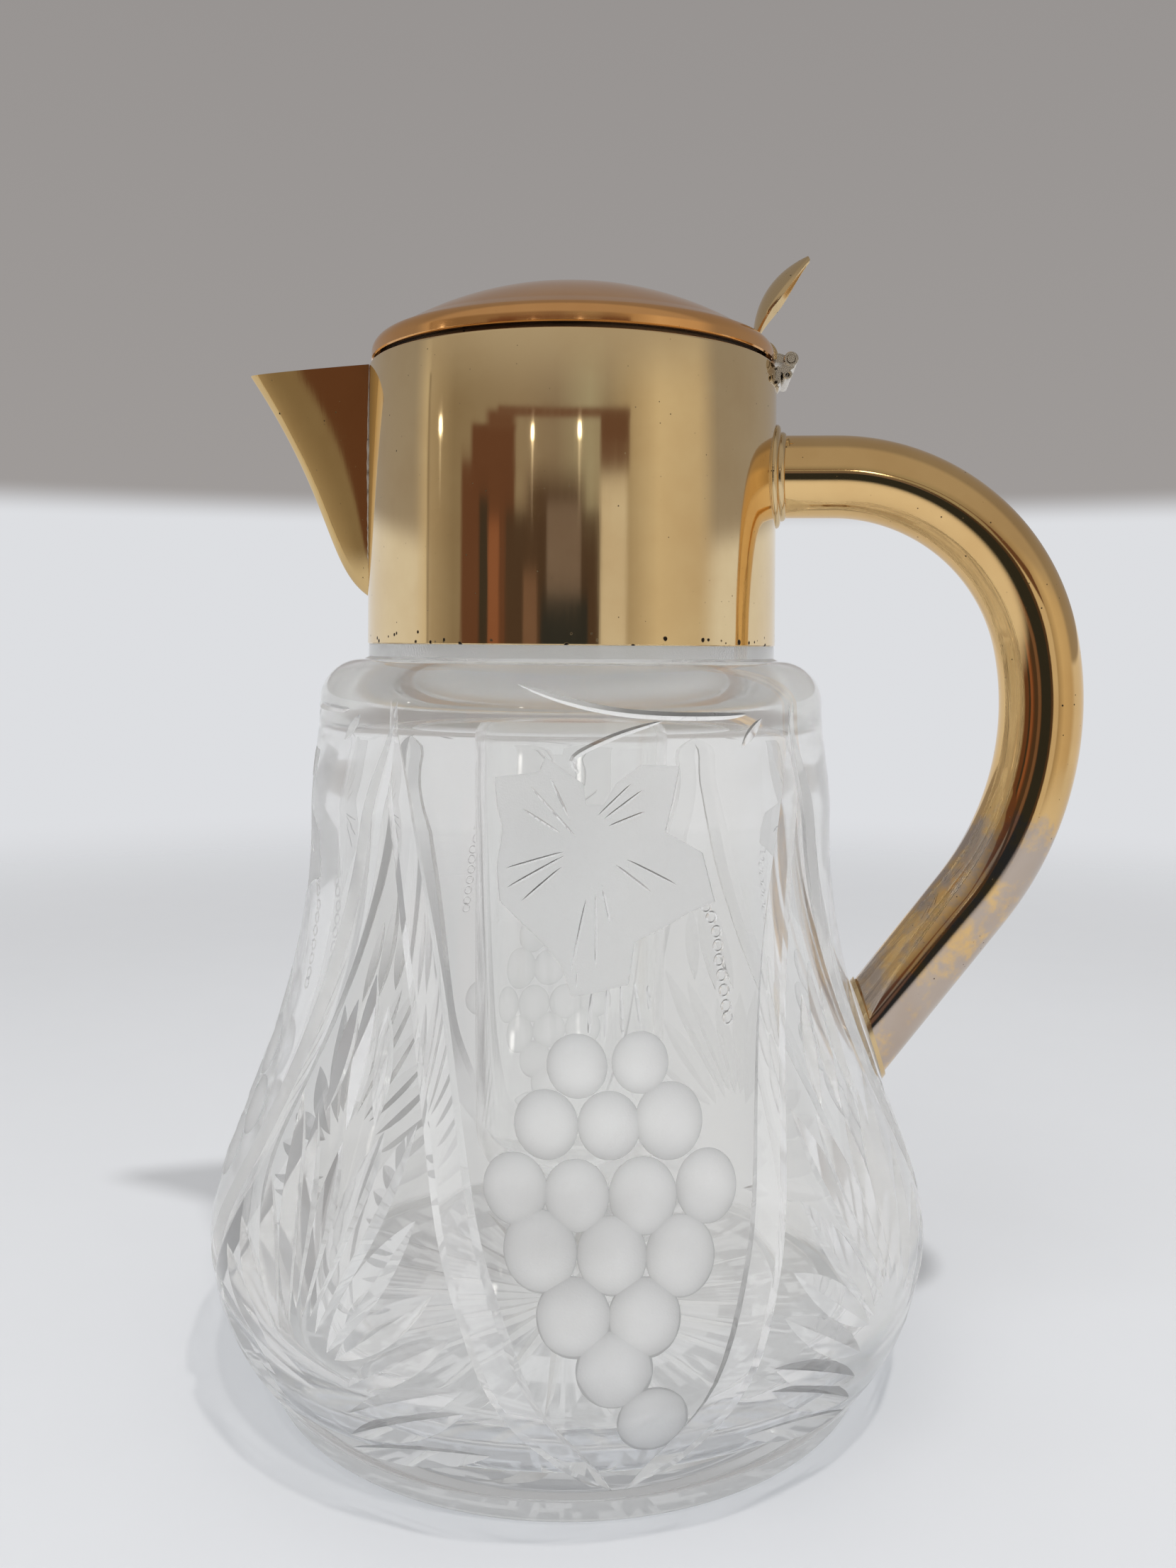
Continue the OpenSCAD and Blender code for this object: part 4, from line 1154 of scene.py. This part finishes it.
def make_handle():
    t_hit, _ = low_hit()
    pts = [(49.5, HANDLE_Z), (54, HANDLE_Z), (59, HANDLE_Z)]
    pts += arc(BEND_1, UPPER_BEND, 90, degrees(TURN_1), 48)
    pts += arc(BEND_2, LOWER_BEND, degrees(TURN_1), degrees(TURN_2), 36)[1:]
    pts += [tuple(LOW_START + LOW_WAY * (t_hit + 14) * i / 8) for i in range(1, 9)]
    handle = clip_tube("gilt_handle", pts, HANDLE_R, (handle_gilt,), REST_GAP + FLANGE_T + SOLDER, None)
    finish_piece(handle, "jug", "gilt", "handle", angle=40)
    ends = [tuple(LOW_START + LOW_WAY * (t_hit + q)) for q in (-16, -8, 0, 8, 16)]
    foot = clip_tube("handle_end_disc", ends, HANDLE_R + 0.7, (rubbed_gilt,), REST_GAP, REST_GAP + FLANGE_T)
    finish_piece(foot, "jug", "worn_gilt", "handle_foot", angle=40)


def make_flange():
    """Saddle plate on the collar with a rolled ring round the foot of the tube."""
    profile = [(HANDLE_R - 1.2, 0.02), (FLANGE_R, 0.02), (FLANGE_R, 0.4), (FLANGE_R - 0.25, 0.8),
               (FLANGE_R - 0.8, 1.05), (FLANGE_R - 1.4, 1.1), (HANDLE_R + 0.75, 1.12),
               (HANDLE_R + 0.8, 1.6), (HANDLE_R + 0.6, 2.1), (HANDLE_R + 0.25, 2.35),
               (HANDLE_R - 0.1, 2.4), (HANDLE_R - 1.2, 2.3)]
    rows = []
    for c, s in circle(96):
        row = []
        for rho, off in profile:
            y, z = rho * s, HANDLE_Z + rho * c
            r = collar_r_at(z) + off
            row.append((sqrt(r * r - y * y), y, z))
        rows.append(row)
    plate = make_object("handle_saddle", loft(rows, closed=True), (rubbed_gilt,))
    finish_piece(plate, "jug", "worn_gilt", "handle_flange", angle=35)


make_glass()
make_ice_tube()
make_collar()
make_spout()
make_spout_solder()
make_lid()
make_collar_hinge()
make_lid_hinge()
make_thumb()
make_handle()
make_flange()

# The lid bezel takes the near-black ring finish, painted shade of the gap under the lid.
for node, finish in (("neck_cement", cement), ("insert_seat", inside_gilt), ("lid_bezel", gap_shade_and_tarnish_ring),
                     ("hinge_pin", hinge_silver)):
    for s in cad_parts[node].material_slots:
        s.material = finish

# ---- Floor, room and lamps ----

WHITE_BOARD = (0.724, 0.735, 0.760)
WALL_LOW, WALL_HIGH = (0.345, 0.325, 0.315), (0.300, 0.283, 0.276)
ROOM_TOP, STREAK, BULB = (0.45, 0.42, 0.385), (0.9, 0.88, 0.84), (7.0, 6.8, 6.4)
MATT_LIGHT, FLOOR_IN_GLASS = (1.0, 0.995, 0.985), (0.60, 0.602, 0.602)
# What the glass shows of the room beside its shapes, from straight down (0) to straight up (1)
ROOM_IN_GLASS = [(0.0, (0.74, 0.742, 0.745)), (0.53, (0.73, 0.732, 0.732)), (0.60, (0.40, 0.375, 0.35)),
                 (0.75, (0.17, 0.14, 0.115))]


def make_floor():
    """Round table top that fades out far from the jug."""
    n = 96
    rings = [0.04 * 1.22 ** k for k in range(20)]
    verts = [(0, 0, 0)] + [(r * c, r * s, 0) for r in rings for c, s in circle(n)]
    faces = [(0, 1 + i, 1 + (i + 1) % n) for i in range(n)]
    for k in range(len(rings) - 1):
        faces += band(1 + (k + 1) * n, 1 + k * n, n)
    m, t, at = material("pale table top")
    colour = blend(t, noise(t, at, 30.0, 3.0), (0.70, 0.712, 0.738), (0.715, 0.727, 0.753))
    cover = place(t, "BsdfPrincipled", Base_Color=colour, Roughness=0.6, Specular_IOR_Level=0.25)
    glow = place(t, "Emission", Color=FLOOR_IN_GLASS, Strength=1.0)
    through = place(t, "LightPath").outputs["Is Transmission Ray"]
    cover = layer(t, mul(t, through, 0.75), cover, glow)
    radius = place(t, "VectorMath", {"operation": "LENGTH"}, i0=at).outputs["Value"]
    clear = place(t, "BsdfTransparent")
    place(t, "OutputMaterial", i0=layer(t, ease(t, radius, 0.45, 1.1), cover, clear))
    make_object("table_top", (verts, faces), (m,))


# The room on the camera's side, seen only in gloss and glass: (degrees round the jug, colour),
# with 0 at -Y and plus to the right
ROOM_ROUND = [
    (-180, (0.40, 0.36, 0.30)), (-118, (0.44, 0.38, 0.30)), (-104, (0.60, 0.55, 0.46)),
    (-81, (0.64, 0.58, 0.47)), (-79, (0.42, 0.37, 0.30)), (-62, (0.27, 0.23, 0.18)),
    (-24, (0.30, 0.26, 0.22)), (-4, (0.27, 0.235, 0.21)), (14, (0.38, 0.38, 0.34)),
    (24, (0.32, 0.29, 0.25)), (36, (0.44, 0.39, 0.31)), (52, (0.66, 0.60, 0.49)),
    (84, (0.56, 0.50, 0.41)), (91, (0.50, 0.44, 0.35)), (93, (0.70, 0.64, 0.53)),
    (118, (0.56, 0.50, 0.42)), (180, (0.40, 0.36, 0.30))]
# (left, right, low, high) in degrees round and in height of direction, then the colour there
# and how soft its edges are
ROOM_SHAPES = [
    (-57, -26, -0.3, 0.16, (0.135, 0.066, 0.044), 1.0),
    (-51, -26, 0.15, 0.215, (0.135, 0.066, 0.044), 1.6),
    (-42, -26, 0.205, 0.246, (0.15, 0.08, 0.056), 2.6),
    (-36, 35.4, 0.234, 0.256, (0.16, 0.09, 0.066), 1.4),
    (19.5, 35.4, 0.157, 0.25, (0.14, 0.078, 0.056), 0.9),
    (19.5, 34, -0.3, 0.152, (0.64, 0.61, 0.56), 1.8),
    (-31, 19.5, -0.3, 0.128, (0.078, 0.052, 0.040), 1.2),
    (-19, 11, 0.12, 0.153, (0.085, 0.055, 0.042), 4.0),
    (-8.4, 9.5, 0.062, 0.134, (0.20, 0.165, 0.165), 0.8),
    (-11.5, 13.3, -0.3, 0.066, (0.030, 0.034, 0.038), 0.7),
    (-46, -40.7, -0.3, 0.135, (0.05, 0.042, 0.036), 0.8),
    (-40.7, -34.5, -0.3, 0.12, (0.26, 0.115, 0.070), 0.8),
    (-21, -13.5, -0.3, 0.083, (0.19, 0.12, 0.095), 0.8),
    (90.2, 91.6, -0.3, 0.3, (0.25, 0.20, 0.14), 0.5),
    (-80.2, -79, -0.3, 0.3, (0.22, 0.18, 0.13), 0.5)]
# Small lamps across the room: (degrees round, height of direction)
ROOM_LAMPS = [(-71.2, 0.207), (-16.5, 0.199), (8.4, 0.206)]


def between(tree, x, low, high, soft):
    """1 from low to high, with soft edges."""
    return sub(tree, ease(tree, x, low - soft, low + soft), ease(tree, x, high - soft, high + soft))


def make_room():
    """Soft studio: plain light on matt surfaces, a room with shapes and lamps for metal and glass."""
    w = bpy.data.worlds.new("studio room")
    scene.world = w
    w.use_nodes = True
    t = w.node_tree
    t.nodes.clear()
    x, y, up = place(t, "SeparateXYZ", i0=place(t, "TexCoord").outputs["Generated"]).outputs
    turn = mul(t, bearing(t, x, mul(t, y, -1.0)), 180 / pi)
    room = ramp(t, add(t, mul(t, turn, 1 / 360), 0.5),
                [((psi + 180) / 360, colour) for psi, colour in ROOM_ROUND])
    for left, right, low, high, colour, soft in ROOM_SHAPES:
        mask = mul(t, between(t, turn, left, right, soft), between(t, up, low, high, 0.004 * soft))
        room = blend(t, mask, room, colour)
    room = blend(t, ease(t, up, 0.25, 0.45), room, ROOM_TOP)
    for psi, high in ROOM_LAMPS:
        streak = mul(t, between(t, turn, psi - 0.3, psi + 0.3, 0.3),
                     between(t, up, high - 0.05, high + 0.02, 0.045))
        spot = mul(t, between(t, turn, psi - 0.8, psi + 0.8, 0.5),
                   between(t, up, high - 0.014, high + 0.014, 0.008))
        room = blend(t, mul(t, streak, 0.8), room, STREAK, "ADD")
        room = blend(t, spot, room, BULB, "ADD")
    wall = blend(t, place(t, "MapRange", i0=up, i1=0.1, i2=0.55), WALL_LOW, WALL_HIGH)
    behind = blend(t, ease(t, up, 0.085, 0.110), WHITE_BOARD, wall)
    seen = blend(t, ease(t, y, -0.25, 0.05), room, behind)
    path = place(t, "LightPath").outputs
    soft = ramp(t, add(t, mul(t, up, 0.5), 0.5), ROOM_IN_GLASS)
    seen = blend(t, mul(t, path["Is Transmission Ray"], 0.55), seen, soft)
    seen = blend(t, path["Is Camera Ray"], seen, behind)
    plain = most(t, path["Is Camera Ray"], most(t, path["Is Glossy Ray"], path["Is Transmission Ray"]))
    place(t, "OutputWorld", i0=layer(t, plain, place(t, "Background", Color=MATT_LIGHT, Strength=0.62),
                                     place(t, "Background", Color=seen, Strength=1.0)))


def lamp(name, at, target, size, power):
    data = bpy.data.lights.new(name, "AREA")
    data.shape = "DISK"
    data.size = size
    data.energy = power
    obj = bpy.data.objects.new(name, data)
    obj.location = at
    obj.rotation_euler = (Vector(target) - Vector(at)).to_track_quat("-Z", "Y").to_euler()
    obj.visible_glossy = obj.visible_transmission = False
    scene.collection.objects.link(obj)


FOCAL_PX, WIDE_PX = 1850.0, 1659.0
CAMERA_AT = (28.57, -326.53, 180.42)
CAMERA_TURNS = (0.75, 6.12, 0.42, 5.0)  # degrees: to the right, down, rolled, round the jug


def make_camera():
    """Camera of the photograph: hand-held, slightly turned, pitched down and rolled."""
    yaw, pitch, roll, swing = (radians(v) for v in CAMERA_TURNS)
    right = Vector((cos(yaw), -sin(yaw), 0))
    look = Vector((cos(pitch) * sin(yaw), cos(pitch) * cos(yaw), -sin(pitch)))
    up = Vector((sin(pitch) * sin(yaw), sin(pitch) * cos(yaw), cos(pitch)))
    turn = Matrix.Rotation(swing, 3, "Z")
    x = turn @ (cos(roll) * right + sin(roll) * up)
    y = turn @ (cos(roll) * up - sin(roll) * right)
    z = turn @ -look
    data = bpy.data.cameras.new("camera")
    data.sensor_fit = "HORIZONTAL"
    data.sensor_width = 36.0
    data.lens = FOCAL_PX / WIDE_PX * data.sensor_width
    data.clip_start = 0.01
    cam = bpy.data.objects.new("camera", data)
    scene.collection.objects.link(cam)
    basis = Matrix((x, y, z)).transposed().to_4x4()
    cam.matrix_world = Matrix.Translation(Vector(CAMERA_AT) * MM) @ basis
    scene.camera = cam


make_floor()
make_room()
lamp("key", (0.27, -0.38, 1.30), (0, 0, 0.05), 0.06, 7.2)
lamp("fill", (-0.3, -0.7, 1.2), (0, 0, 0.12), 0.8, 3.4)
make_camera()
scene.view_settings.view_transform = "Standard"
